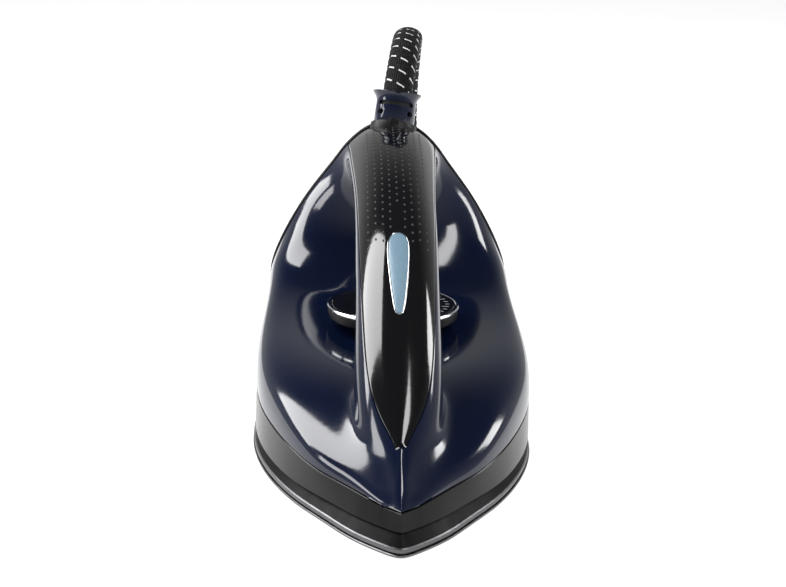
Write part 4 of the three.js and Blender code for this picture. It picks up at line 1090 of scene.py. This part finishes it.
@dataclass
class SoleOutline:
    """The sole's plan outline, walked from the nose by way of the right-hand side."""

    count: int = 360

    def __post_init__(self) -> None:
        """Smooth the outline once."""
        corners = [*SOLE_HALF, *((-x, y) for x, y in reversed(SOLE_HALF[1:-1]))]
        fine = catmull(vectors((x, y, 0) for x, y in corners), True, 24)
        self.points = evenly(fine, self.count, True)

    def ring(self, inset: float, z: float) -> list[Vector]:
        """Return the outline drawn in by an inset at a height, both in millimetres."""
        out = []
        for i, p in enumerate(self.points):
            t = (self.points[(i + 1) % self.count] - self.points[i - 1]).normalized()
            out.append(Vector((p.x - t.y * inset * MM, p.y + t.x * inset * MM, z * MM)))
        return out


@dataclass
class Sole:
    """The coated sole sheet with its steam holes, and the casting that it is bonded to.

    Sizes are in millimetres.
    """

    outline: SoleOutline
    sheet: float = 1.3
    rim_top: float = 3.6
    casting_top: float = 8.0
    shoulder: float = 4.6
    hole: float = 1.2

    def holes(self) -> list[tuple[float, float]]:
        """Return the steam holes' places: three on the middle line, then a row along each side."""
        sides = [(4, -79), (7.5, -70), (11.5, -61), (15, -52), (18, -43), (20.5, -34), (22.5, -25), (23.5, -16)]
        return [(0, -85), (0, -76), (0, -67), *sides, *((-x, y) for x, y in sides)]

    def build(self) -> None:
        """Make the sheet and the casting."""
        ring = self.outline.ring
        top = self.sheet
        edge = [(2.2, 0), (1.2, 0.06), (0.5, 0.22), (0.1, 0.5), (0, 0.8), (0.1, top - 0.12), (0.3, top)]
        sheet = Form().net([ring(i, z) for i, z in edge], wrap=True, caps=True).outward().object("sole_face")
        drills = Form()
        for x, y in self.holes():
            flare = [(0, -0.5), (self.hole + 0.5, -0.5), (self.hole, 0.35), (self.hole, 3), (0, 3)]
            drill = Form().lathe(flare, 20, False)
            drills.add(drill.move(Matrix.Translation(Vector((x, y, 0)) * MM)))
        dress(carve(sheet, drills), Finish.SOLE, Body.IRON, ["sole_sheet"], 30)
        low = top + 0.3
        edge = [(1.2, low), (0.75, low + 0.1), (0.5, 2.1), (0.45, self.rim_top - 0.5), (0.55, self.rim_top - 0.1),
                (0.9, self.rim_top + 0.25), (self.shoulder, self.casting_top)]
        casting = Form().net([ring(i, z) for i, z in edge], wrap=True, caps=True).outward().object("sole_casting")
        bosses = Form()
        for x, y in ((29, 14), (-29, 14), (0, 78)):
            boss = Form().lathe([(0, 7), (4, 7), (4, 12.3), (1.6, 12.3), (1.6, 8), (0, 8)], 24, False)
            bosses.add(boss.move(Matrix.Translation(Vector((x, y, 0)) * MM)))
        carve(casting, self.chamber(), self.groove())
        join = casting.modifiers.new("bosses", "BOOLEAN")
        join.operation, join.object, join.solver = "UNION", bosses.object("bosses"), "EXACT"
        spare = join.object
        baked(casting)
        bpy.data.objects.remove(spare)
        dress(casting, Finish.CAST, Body.IRON, ["soleplate"], 30)

    def chamber(self) -> Form:
        """Return the hollow that the steam chamber's cover closes."""
        half = [(0, -98), (7, -88), (19, -68), (29, -44), (35, -20), (35, -8), (30, -4), (0, -4)]
        corners = [(x * 0.8, y * 0.88 - 4) for x, y in half]
        corners += [(-x, y) for x, y in reversed(corners[1:-1])]
        line = evenly(catmull(vectors((x, y, 0) for x, y in corners), True, 12), 72, True)
        return Form().prism([(p.x / MM, p.y / MM) for p in line], self.rim_top, self.casting_top + 1)

    def groove(self) -> Form:
        """Return the channel that the heating element lies in."""
        half = [(-22, 88, 8.6), (-27, 80, 7.6), (-40, 58, 7.6), (-45, 25, 7.6), (-43.5, -10, 7.6), (-38, -44, 7.6),
                (-24, -76, 7.6), (-10, -99.5, 7.6)]
        line = [(-21, 92, 13), *half, (0, -105, 7.6), *((-x, y, z) for x, y, z in reversed(half)), (21, 92, 13)]
        path = evenly(catmull(vectors(line), False, 8), 100, False)
        rows = []
        for i, p in enumerate(path):
            t = (path[min(i + 1, 99)] - path[max(i - 1, 0)]).normalized()
            across = t.cross(Vector((0, 0, 1))).normalized()
            rows.append([
                p + (across * math.cos(a) + across.cross(t) * math.sin(a)) * 3.75 * MM
                for a in (2 * math.pi * k / 12 for k in range(12))
            ])
        return Form().net(rows, wrap=True, caps=True).outward()


@dataclass
class HeatShield:
    """The grey skirt between the sole and the body, with the deck inside it and the heel's pillars.

    Sizes are in millimetres.
    """

    outline: SoleOutline
    seam: Sequence[Vector]
    bottom: float = 8.4
    inset: float = 0.9
    nose_inset: float = 3.0
    wall: float = 2.0
    under_seam: float = 0.55
    heel_y: float = 107.6
    count: int = 261
    across: int = 40

    def foot(self) -> list[Vector]:
        """Return the skirt's lower edge as a fine ring."""
        fine = evenly(self.outline.points, 1440, True)
        out = []
        for i, p in enumerate(fine):
            t = (fine[(i + 1) % len(fine)] - fine[i - 1]).normalized()
            inset = (self.inset + self.nose_inset * smoothstep(-p.y / MM, 55, 121)) * MM
            out.append(Vector((p.x - t.y * inset, p.y + t.x * inset, self.bottom * MM)))
        return out

    def sections(self) -> tuple[list[Vector], list[Vector]]:
        """Return the wall's top and bottom lines, point for point."""
        foot = self.foot()

        def nearest(p: Vector) -> int:
            """Return the number of the foot's point that is nearest in plan."""
            return min(range(len(foot)), key=lambda i: (foot[i].xy - p.xy).length_squared)

        tops = [p - Vector((0, 0, self.under_seam * MM)) for p in evenly(self.seam, self.count, False)]
        bottoms = [foot[nearest(p)] for p in tops]
        first, last = nearest(tops[0]), nearest(tops[-1])
        span = (first - last) % len(foot)
        if span > len(foot) / 2:
            span -= len(foot)
        ends = tops[-1], tops[0]
        for k in range(1, self.across):
            u = k / self.across
            top = ends[0].lerp(ends[1], u)
            top.y = self.heel_y * MM
            tops.append(top)
            bottoms.append(foot[(last + round(span * u)) % len(foot)])
        return tops, bottoms

    def build(self) -> None:
        """Make the skirt, its deck and its pillars."""
        tops, bottoms = self.sections()
        count = len(tops)
        area = sum(a.x * b.y - b.x * a.y for a, b in zip(tops, [*tops[1:], tops[0]]))
        inward = []
        for i in range(count):
            t = (tops[(i + 1) % count].xy - tops[i - 1].xy).normalized()
            inward.append(Vector((-t.y, t.x, 0)) * math.copysign(1, area))
        rows = []
        for share, drawn in ((0, 0.35), (0.02, 0), (0.5, 0), (0.97, 0), (1, 0.3)):
            rows.append([b.lerp(t, share) + n * drawn * MM for b, t, n in zip(bottoms, tops, inward)])
        for line, drop in ((tops, 1.8), (bottoms, 0)):
            inner = [p + n * self.wall * MM - Vector((0, 0, drop * MM)) for p, n in zip(line, inward)]
            for p, q in zip(inner, line):
                p.x = p.x if p.x * q.x > 0 else 0.0
            rows.append(inner)
        form = Form().net([*rows, rows[0]], wrap=True).outward()
        outline = []
        for b, t, n in zip(bottoms, tops, inward):
            p = b.lerp(t, (13.5 * MM - b.z) / (t.z - b.z)) + n * MM
            outline.append((p.x / MM, p.y / MM))
        for x in (-35, 35):
            rows = [
                vectors(((x - 4, low, z), (x + 4, low, z), (x + 4, high, z), (x - 4, high, z)))
                for low, high, z in ((93, 100, 14), (96, 104.5, 42), (98, 107.8, 64))
            ]
            form.add(Form().net(rows, wrap=True, caps=True).outward())
        deck = Form().prism(outline, 12.6, 14.4).object("deck")
        drills = Form()
        for x, y, radius in ((0, 29, 16.8), (0, -30, 6), (21, 90, 5.4), (-21, 90, 5.4), (28.5, 55, 4)):
            drill = Form().lathe([(0, 10), (radius, 10), (radius, 16), (0, 16)], 32, False)
            drills.add(drill.move(Matrix.Translation(Vector((x, y, 0)) * MM)))
        form.take(carve(deck, drills))
        dress(form.object("skirt"), Finish.SHIELD, Body.IRON, ["heat_shield"], 30)


# ---------------------------------------------------------------- grip, lens and shells


def turned(x: float, y: float, z: float, tilt: float = 0, lean: float = 0) -> Matrix:
    """Return a frame at a place in millimetres, tilted about X and then leaned about Y, in degrees."""
    place = Matrix.Translation(Vector((x, y, z)) * MM) @ Matrix.Rotation(math.radians(tilt), 4, "X")
    return place @ Matrix.Rotation(math.radians(lean), 4, "Y")


@dataclass
class Frames:
    """The turned frames that small groups are built in."""

    lens: Matrix = field(default_factory=lambda: turned(0, -29, 85.2, 33.5))
    trigger: Matrix = field(default_factory=lambda: turned(0, 14, 80.6, 22.5))
    gland: Matrix = field(default_factory=lambda: turned(0.8, 105.4, 122.6, -20, 6))
    dial: Matrix = field(default_factory=lambda: turned(0, 29, 48.6))


@dataclass
class LensGroup:
    """The light-blue window in the grip's front, and its thin bright bezel."""

    skin: Skin
    place: Matrix
    half: Sequence[tuple[float, float]] = (
        (0, -22), (0.8, -21.5), (1.4, -18.8), (2.1, -13.2), (2.8, -6), (3.4, 2), (3.75, 9), (3.75, 14.4), (3.3, 18.4),
        (2, 21.1), (0, 22),
    )
    count: int = 96

    def __post_init__(self) -> None:
        """Smooth the teardrop outline once."""
        corners = [*self.half, *((-x, y) for x, y in reversed(self.half[1:-1]))]
        self.drop = evenly(catmull(vectors((x, y, 0) for x, y in corners), True, 16), self.count, True)

    def ring(self, margin: float, rise: float | None, share: float = 1) -> list[Vector]:
        """Return the outline grown by a margin and drawn to its middle by a share, at a rise over the skin.

        Args:
            margin: outward growth in millimetres.
            rise: height over the skin in millimetres, or None for the frame's own plane.
            share: scale about the outline's middle.

        Returns:
            The ring in the lens's frame.
        """
        out = []
        for i, p in enumerate(self.drop):
            t = (self.drop[(i + 1) % self.count] - self.drop[i - 1]).normalized()
            x, y = (p.x + t.y * margin * MM) * share, (p.y - t.x * margin * MM) * share
            z = 0 if rise is None else self.skin.above(self.place, x, y) + rise * MM
            out.append(Vector((x, y, z)))
        return out

    def cutter(self) -> Form:
        """Return the prism that opens the cover for the bezel."""
        outline = self.ring(0.95, None)
        rows = [[Vector((p.x, p.y, z * MM)) for p in outline] for z in (-8, 7)]
        return Form().net(rows, wrap=True, caps=True).move(self.place).outward()

    def build(self) -> None:
        """Make the window and the bezel."""
        rows = [self.ring(0.3, -2.2), self.ring(0.3, -0.15), self.ring(0.18, 0.05), self.ring(-0.15, 0.16)]
        rows += [self.ring(-0.2, 0.16 + 0.3 * (1 - s * s), s) for s in (0.93, 0.8, 0.62, 0.42, 0.2, 0.04)]
        window = Form().net(rows, wrap=True, caps=True).move(self.place).outward().object("window")
        dress(window, Finish.LENS, Body.IRON, ["lens"], 50)
        rows = [self.ring(0.8, -2.4), self.ring(0.8, 0.02), self.ring(0.72, 0.12), self.ring(0.55, 0.14),
                self.ring(0.42, 0.06), self.ring(0.42, -2.4)]
        bezel = Form().net([*rows, rows[0]], wrap=True).move(self.place).outward().object("window_rim")
        dress(bezel, Finish.CHROME, Body.IRON, ["lens_bezel"], 50)


@dataclass
class GripDots:
    """Rows of small raised dots along the top of the grip, in a V that ends beside the window.

    Sizes are in millimetres.
    """

    skin: Skin
    pitch: float = 3.05
    step: float = 4.6
    back: float = 93
    fronts: Sequence[float] = (6, -7, -13, -13, -15)
    half: Point = (0.5, 0.85, 0.24)

    def build(self) -> None:
        """Make all the dots as one piece."""
        form = Form()
        for column in range(-len(self.fronts) + 1, len(self.fronts)):
            y = self.back - (self.step / 2 if column % 2 else 0)
            while y > self.fronts[abs(column)]:
                self.dot(form, column * self.pitch, y)
                y -= self.step
        dress(form.outward().object("grip_dots"), Finish.DOTS, Body.IRON, degrees=60)

    def dot(self, form: Form, x: float, y: float) -> None:
        """Add one dot where the crown lies under x, y."""
        hit, normal = self.skin.tree.ray_cast(Vector((x, y, 150)) * MM, Vector((0, 0, -1)))[:2]
        if hit is None or hit.z < 0.07:
            return
        if normal.z < 0:
            normal.negate()
        along = (Vector((0, -1, 0)) - normal * -normal.y).normalized()
        turn = Matrix((along.cross(normal), along, normal)).transposed().to_4x4()
        place = Matrix.Translation(hit) @ turn @ Matrix.Diagonal((*(Vector(self.half) * MM), 1))
        bmesh.ops.create_uvsphere(form.bm, u_segments=8, v_segments=5, radius=1, matrix=place)


@dataclass
class Shells:
    """The navy body and the black cover over the grip."""

    skin: Skin
    frames: Frames
    lens: LensGroup

    def build(self) -> None:
        """Make both mouldings with their openings."""
        spindle = Form().lathe([(0, 36), (4.6, 36), (4.6, 50), (0, 50)], 32, False)
        spindle.move(Matrix.Translation(Vector((0, 29, 0)) * MM))
        slot = Form().block((-7.6, -17, -5), (7.6, 13.8, 5.5), 1.5, 3).move(self.frames.trigger)
        main = carve(self.skin.shell(Shell.MAIN, "navy_body"), spindle, slot)
        dress(main, Finish.NAVY, Body.IRON, ["main_shell"], 40)
        bore = Form().lathe([(0, -14), (11.4, -14), (11.4, 14.5), (0, 14.5)], 64, False).move(self.frames.gland)
        cover = carve(self.skin.shell(Shell.COVER, "grip_shell"), self.lens.cutter(), bore)
        dress(cover, Finish.BLACK_GLOSS, Body.IRON, ["grip_cover"], 40)


@dataclass
class RearCover:
    """The black cover over the heel end, with its two screws and the pads that the iron stands on.

    Sizes are in millimetres.
    """

    arch: Sequence[Vector]
    gland: Matrix
    front: float = 108.6
    back: float = 116
    rest: float = 120.5
    foot: float = 41.6
    middle: float = 62

    def ring(self, margin: float, y: float) -> list[Vector]:
        """Return the heel's arch grown by a margin at a station, with its two feet."""
        line = [p for p in evenly(self.arch, 140, False) if p.z > self.foot * MM + 1e-3]
        wide = max(p.x for p in line if p.z < 70 * MM)
        line = [Vector((wide, 0, self.foot * MM)), *line, Vector((-wide, 0, self.foot * MM))]
        out = []
        for p in line:
            away = Vector((p.x, 0, max(0.0, p.z - self.middle * MM))).normalized()
            out.append(Vector((p.x + away.x * margin * MM, y * MM, p.z + away.z * margin * MM)))
        return out

    def loft(self, levels: Sequence[tuple[float, float]], lift: float = 0) -> Form:
        """Return a solid over arches, each a margin and a station, raised by a lift."""
        rows = [[p + Vector((0, 0, lift * MM)) for p in self.ring(m, y)] for m, y in levels]
        return Form().net(rows, wrap=True, caps=True).outward()

    def build(self) -> None:
        """Make the cover, its screws and its pads."""
        outer = [(0.5, self.front), (0.75, self.front + 0.3), (0.9, 110.2), (0.65, 112.1), (0, 113.5), (-1.3, 114.8),
                 (-3.2, 115.6), (-6, self.back)]
        cover = self.loft(outer).object("heel_cover")
        cavity = self.loft([(-2, self.front - 2), (-2, 112), (-6.5, 113.6)], 1.5)
        bore = Form().lathe([(0, -14), (11.4, -14), (11.4, 14.5), (0, 14.5)], 64, False).move(self.gland)
        drills = Form()
        turn = Matrix.Rotation(-math.pi / 2, 4, "X")
        for x in (-35, 35):
            drill = Form().lathe([(0, 107), (1.6, 107), (1.6, 118), (0, 118)], 20, False)
            drills.add(drill.move(Matrix.Translation(Vector((x, 0, 59.5)) * MM) @ turn))
        grooves = Form()
        for z in (56, 62.5, 69, 75.5, 82, 88.5):
            grooves.add(Form().block((-20, self.back - 0.5, z), (20, self.back + 1, z + 2.6), 0.2, 1))
        dress(carve(cover, cavity, bore, drills, grooves), Finish.BLACK, Body.IRON, ["rear_cover"], 40)
        for n, x in enumerate((-35, 35), 1):
            head = Form().lathe(
                [(0, -15), (1.3, -14.6), (1.3, 0), (3.2, 0), (3.2, 0.5), (2.9, 1.2), (2.2, 1.7), (0, 1.8)], 32, False,
            ).object(f"heel_fixing_{n}")
            slots = [Form().block((-w, -h, 0.9), (w, h, 3)) for w, h in ((1.8, 0.35), (0.35, 1.8))]
            carve(head, *slots)
            head.data.transform(Matrix.Translation(Vector((x, self.back + 0.3, 59.5)) * MM) @ turn)
            dress(head, Finish.STEEL, Body.IRON, [f"heel_screw_{n}"], 40)
        pads = (("pad_low", "heel_pad_low", 36, 45, 52), ("pad_high", "heel_pad_high", 14, 99, 105))
        for name, node, half, low, high in pads:
            pad = Form().block((-half, self.back + 0.3, low), (half, self.rest - 0.5, high), 1.2, 4)
            for k in range(3):
                z = low + (high - low) * (0.22 + 0.28 * k)
                pad.add(Form().block((-half + 2, self.rest - 1.2, z - 0.55), (half - 2, self.rest, z + 0.55), 0.45, 2))
            dress(pad.object(name), Finish.RUBBER, Body.IRON, [node], 40)


@dataclass
class Gland:
    """The navy strain relief with its flared mouth, and the black grommet at its foot.

    Sizes are in millimetres, in the gland's own frame.
    """

    place: Matrix
    slot: tuple[float, float] = (7.3, 9.3)
    eye: float = 1.25

    def build(self) -> None:
        """Make the strain relief and the grommet."""
        profile = [
            (7.8, -9), (8.6, -9), (8.6, -2.6), (9.3, -2.6), (9.6, -2.2), (9.5, 6), (9.35, 9), (9.4, 10.7), (9.7, 12.2),
            (10.2, 13.4), (10.8, 14.35), (10.72, 14.5), (10.5, 14.45), (9.4, 13.3), (8.5, 12), (7.95, 10.5),
        ]
        relief = Form().lathe(profile, 72)
        for vert in relief.bm.verts:
            share = smoothstep(vert.co.z, 10 * MM, 14.5 * MM)
            vert.co.x *= 1 + 0.07 * share
            vert.co.y *= 1 - 0.06 * share
            reach = vert.co.xy.length or 1
            vert.co.z -= 1.1 * MM * share * (vert.co.y / reach) ** 2
        piece = relief.outward().object("strain_sleeve")
        tools = []
        for side in (1, -1):
            cut = Form().block((-7.9, 3, self.slot[0]), (7.9, 13, self.slot[1]), 0.7, 3)
            cut.move(Matrix.Diagonal((1, side, 1, 1))).outward()
            tools.append(cut)
            for x in (-6.9, 6.9):
                eye = Form().lathe([(0, 4), (self.eye, 4), (self.eye, 13), (0, 13)], 20, False)
                tools.append(eye.move(
                    Matrix.Translation(Vector((x, 0, 3.9)) * MM) @ Matrix.Rotation(-side * math.pi / 2, 4, "X")
                ).outward())
        carve(piece, *tools)
        liner = Form().lathe([(7.75, 5.6), (8.15, 5.6), (8.15, 10.4), (7.75, 10.4)], 48).move(self.place)
        piece.data.transform(self.place)
        dress(piece, Finish.NAVY, Body.IRON, ["strain_relief"], 40)
        dress(liner.object("strain_liner"), Finish.RUBBER, Body.IRON, degrees=40)
        grommet = Form().lathe([(9.75, -5), (10.9, -5), (10.9, -0.9), (10.6, -0.5), (9.75, -0.5)], 64)
        grommet.add(Form().block((-2.2, -11, -2.4), (2.2, -9.8, 0.6), 0.5, 3))
        grommet.move(self.place)
        dress(grommet.outward().object("gland_ring"), Finish.BLACK, Body.IRON, ["cord_grommet"], 40)


@dataclass
class Dial:
    """The steam dial: a black knob, its chrome ring and a printed face.

    Sizes are in millimetres, in the dial's own frame.
    """

    place: Matrix
    radius: float = 29

    def build(self) -> None:
        """Make the four turned pieces and the print."""
        r = self.radius
        knob = [
            (0, 0.3), (r - 4.5, 0.3), (r - 2.4, 0.6), (r - 0.9, 1.6), (r - 0.45, 3.2), (r - 0.4, 5.1), (r - 0.7, 5.4),
            (0, 5.4),
        ]
        ring = [
            (r - 1.9, 5.7), (r - 0.2, 5.7), (r, 5.85), (r, 6.5), (r - 0.2, 6.8), (r - 0.5, 7), (r - 1.2, 7),
            (r - 1.9, 6.7),
        ]
        face = [(0, 5.7), (r - 2.1, 5.7), (r - 2.1, 6.7), (r - 2.4, 6.9), (0, 6.9)]
        stem = [(0, -26.3), (2, -26.3), (2.4, -25.9), (2.4, -0.3), (2.1, 0), (0, 0)]
        for name, profile, finish, node, close in (
            ("dial_grip", knob, Finish.BLACK, "dial_knob", False),
            ("dial_trim", ring, Finish.CHROME, "dial_ring", True),
            ("dial_disc", face, Finish.BLACK_GLOSS, "dial_face", False),
            ("dial_stem", stem, Finish.STEEL, "dial_spindle", False),
        ):
            form = Form().lathe(profile, 128, close).move(self.place)
            dress(form.object(name), finish, Body.DIAL, [node], 30)
        dress(self.marks().move(self.place).outward().object("dial_marks"), Finish.PRINT, Body.DIAL, degrees=30)

    def marks(self) -> Form:
        """Return the print: a setting scale of ticks, a widening band and one, two and three dots."""
        form = Form()
        for k in range(27):
            a = math.radians(-130 + 10 * k)
            long = 3.2 if k % 3 == 0 else 1.8
            tick = Form().block((self.radius - 4.2 - long, -0.2, 6.9), (self.radius - 4.2, 0.2, 6.98))
            form.add(tick.move(Matrix.Rotation(a, 4, "Z")))
        for group, a in ((1, -60), (2, 0), (3, 60)):
            for k in range(group):
                turn = math.radians(a + (k - (group - 1) / 2) * 9)
                dot = Form().lathe([(0, 6.9), (0.8, 6.9), (0.8, 6.98), (0, 6.98)], 16, False)
                dot.move(Matrix.Translation(Vector((18.4, 0, 0)) * MM))
                form.add(dot.move(Matrix.Rotation(turn, 4, "Z")))
        for inner, outer in ((7.6, 7.9), (14.4, 14.7)):
            form.add(Form().lathe([(inner, 6.9), (outer, 6.9), (outer, 6.98), (inner, 6.98)], 64))
        return form


@dataclass
class Trigger:
    """The steam trigger under the grip, as its side profile drawn across.

    Sizes are in millimetres, in the trigger's own frame.
    """

    place: Matrix
    half: float = 6.8
    pivot: tuple[float, float] = (14, 9)
    side: Sequence[tuple[float, float]] = (
        (-15, 4.6), (-15, -1), (-13.2, -3.4), (-9, -4.4), (0, -4.9), (7, -3.9), (11.5, -1.4), (13, 1.2), (13.2, 4.2),
        (16.6, 6.6), (17.4, 9), (16.4, 11.4), (14, 12.2), (11.6, 11.4), (10.6, 9), (10, 5.4), (-4, 5.2), (-4.4, 7.6),
        (-7.6, 7.6), (-8, 4.8),
    )

    def build(self) -> None:
        """Make the trigger with rounded edges, its grooves and its pin bore."""
        across = Matrix(((0, 0, 1, 0), (1, 0, 0, 0), (0, 1, 0, 0), (0, 0, 0, 1)))
        form = Form().prism(self.side, -self.half, self.half)
        caps = [e for e in form.sharp_edges(60) if abs(abs(e.verts[0].co.z) - abs(e.verts[1].co.z)) < 1e-6
                and e.verts[0].co.z * e.verts[1].co.z > 0]
        form.bevel(caps, 0.7, 3)
        piece = form.move(across).outward().object("trigger_lever")
        bore = Form().lathe([(0, -9), (1.55, -9), (1.55, 9), (0, 9)], 20, False)
        bore.move(Matrix.Rotation(math.pi / 2, 4, "Y"))
        bore.move(Matrix.Translation(Vector((0, *self.pivot)) * MM))
        grooves = Form()
        for y in (-10, -7.5, -5, -2.5, 0, 2.5):
            grooves.add(Form().block((-4.6, y - 0.5, -6), (4.6, y + 0.5, -4.1), 0.3, 1))
        carve(piece, bore, grooves)
        piece.data.transform(self.place)
        dress(piece, Finish.NAVY, Body.TRIGGER, ["steam_trigger"], 40)


class Works:
    """The pieces inside the body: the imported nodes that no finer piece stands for."""

    FINISHES = {f.slot: f for f in reversed(Finish) if f is not Finish.PRINT}

    def dress(self) -> None:
        """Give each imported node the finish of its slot."""
        slots = {part["node"]: part["material_slot"] for part in frame["record"]["subparts"]}
        shown = [name for name, node in frame["nodes"].items() if not node.hide_render]
        for name in sorted(shown):
            data = frame["nodes"][name].data
            finish = WARDROBE.of(self.FINISHES[slots[name]])
            if not data.materials:
                data.materials.append(finish)
            for n in range(len(data.materials)):
                data.materials[n] = finish
            LOG.info("%s: packed node in %s", name, finish.name)


# ---------------------------------------------------------------- the whole


def main() -> None:
    """Build the iron, its hose and its studio."""
    logging.basicConfig(level=logging.INFO, format="%(name)s: %(message)s")
    Viewpoint().build()
    Hose().build(Coupling().build())
    Tie().build()
    Studio().build()
    frames = Frames()
    skin = Skin()
    seam, arch = skin.split_edge()
    outline = SoleOutline()
    Sole(outline).build()
    HeatShield(outline, seam).build()
    lens = LensGroup(skin, frames.lens)
    lens.build()
    Shells(skin, frames, lens).build()
    GripDots(skin).build()
    RearCover(arch, frames.gland).build()
    Gland(frames.gland).build()
    Dial(frames.dial).build()
    Trigger(frames.trigger).build()
    Works().dress()
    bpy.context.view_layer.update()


if __name__ == "__main__":
    main()
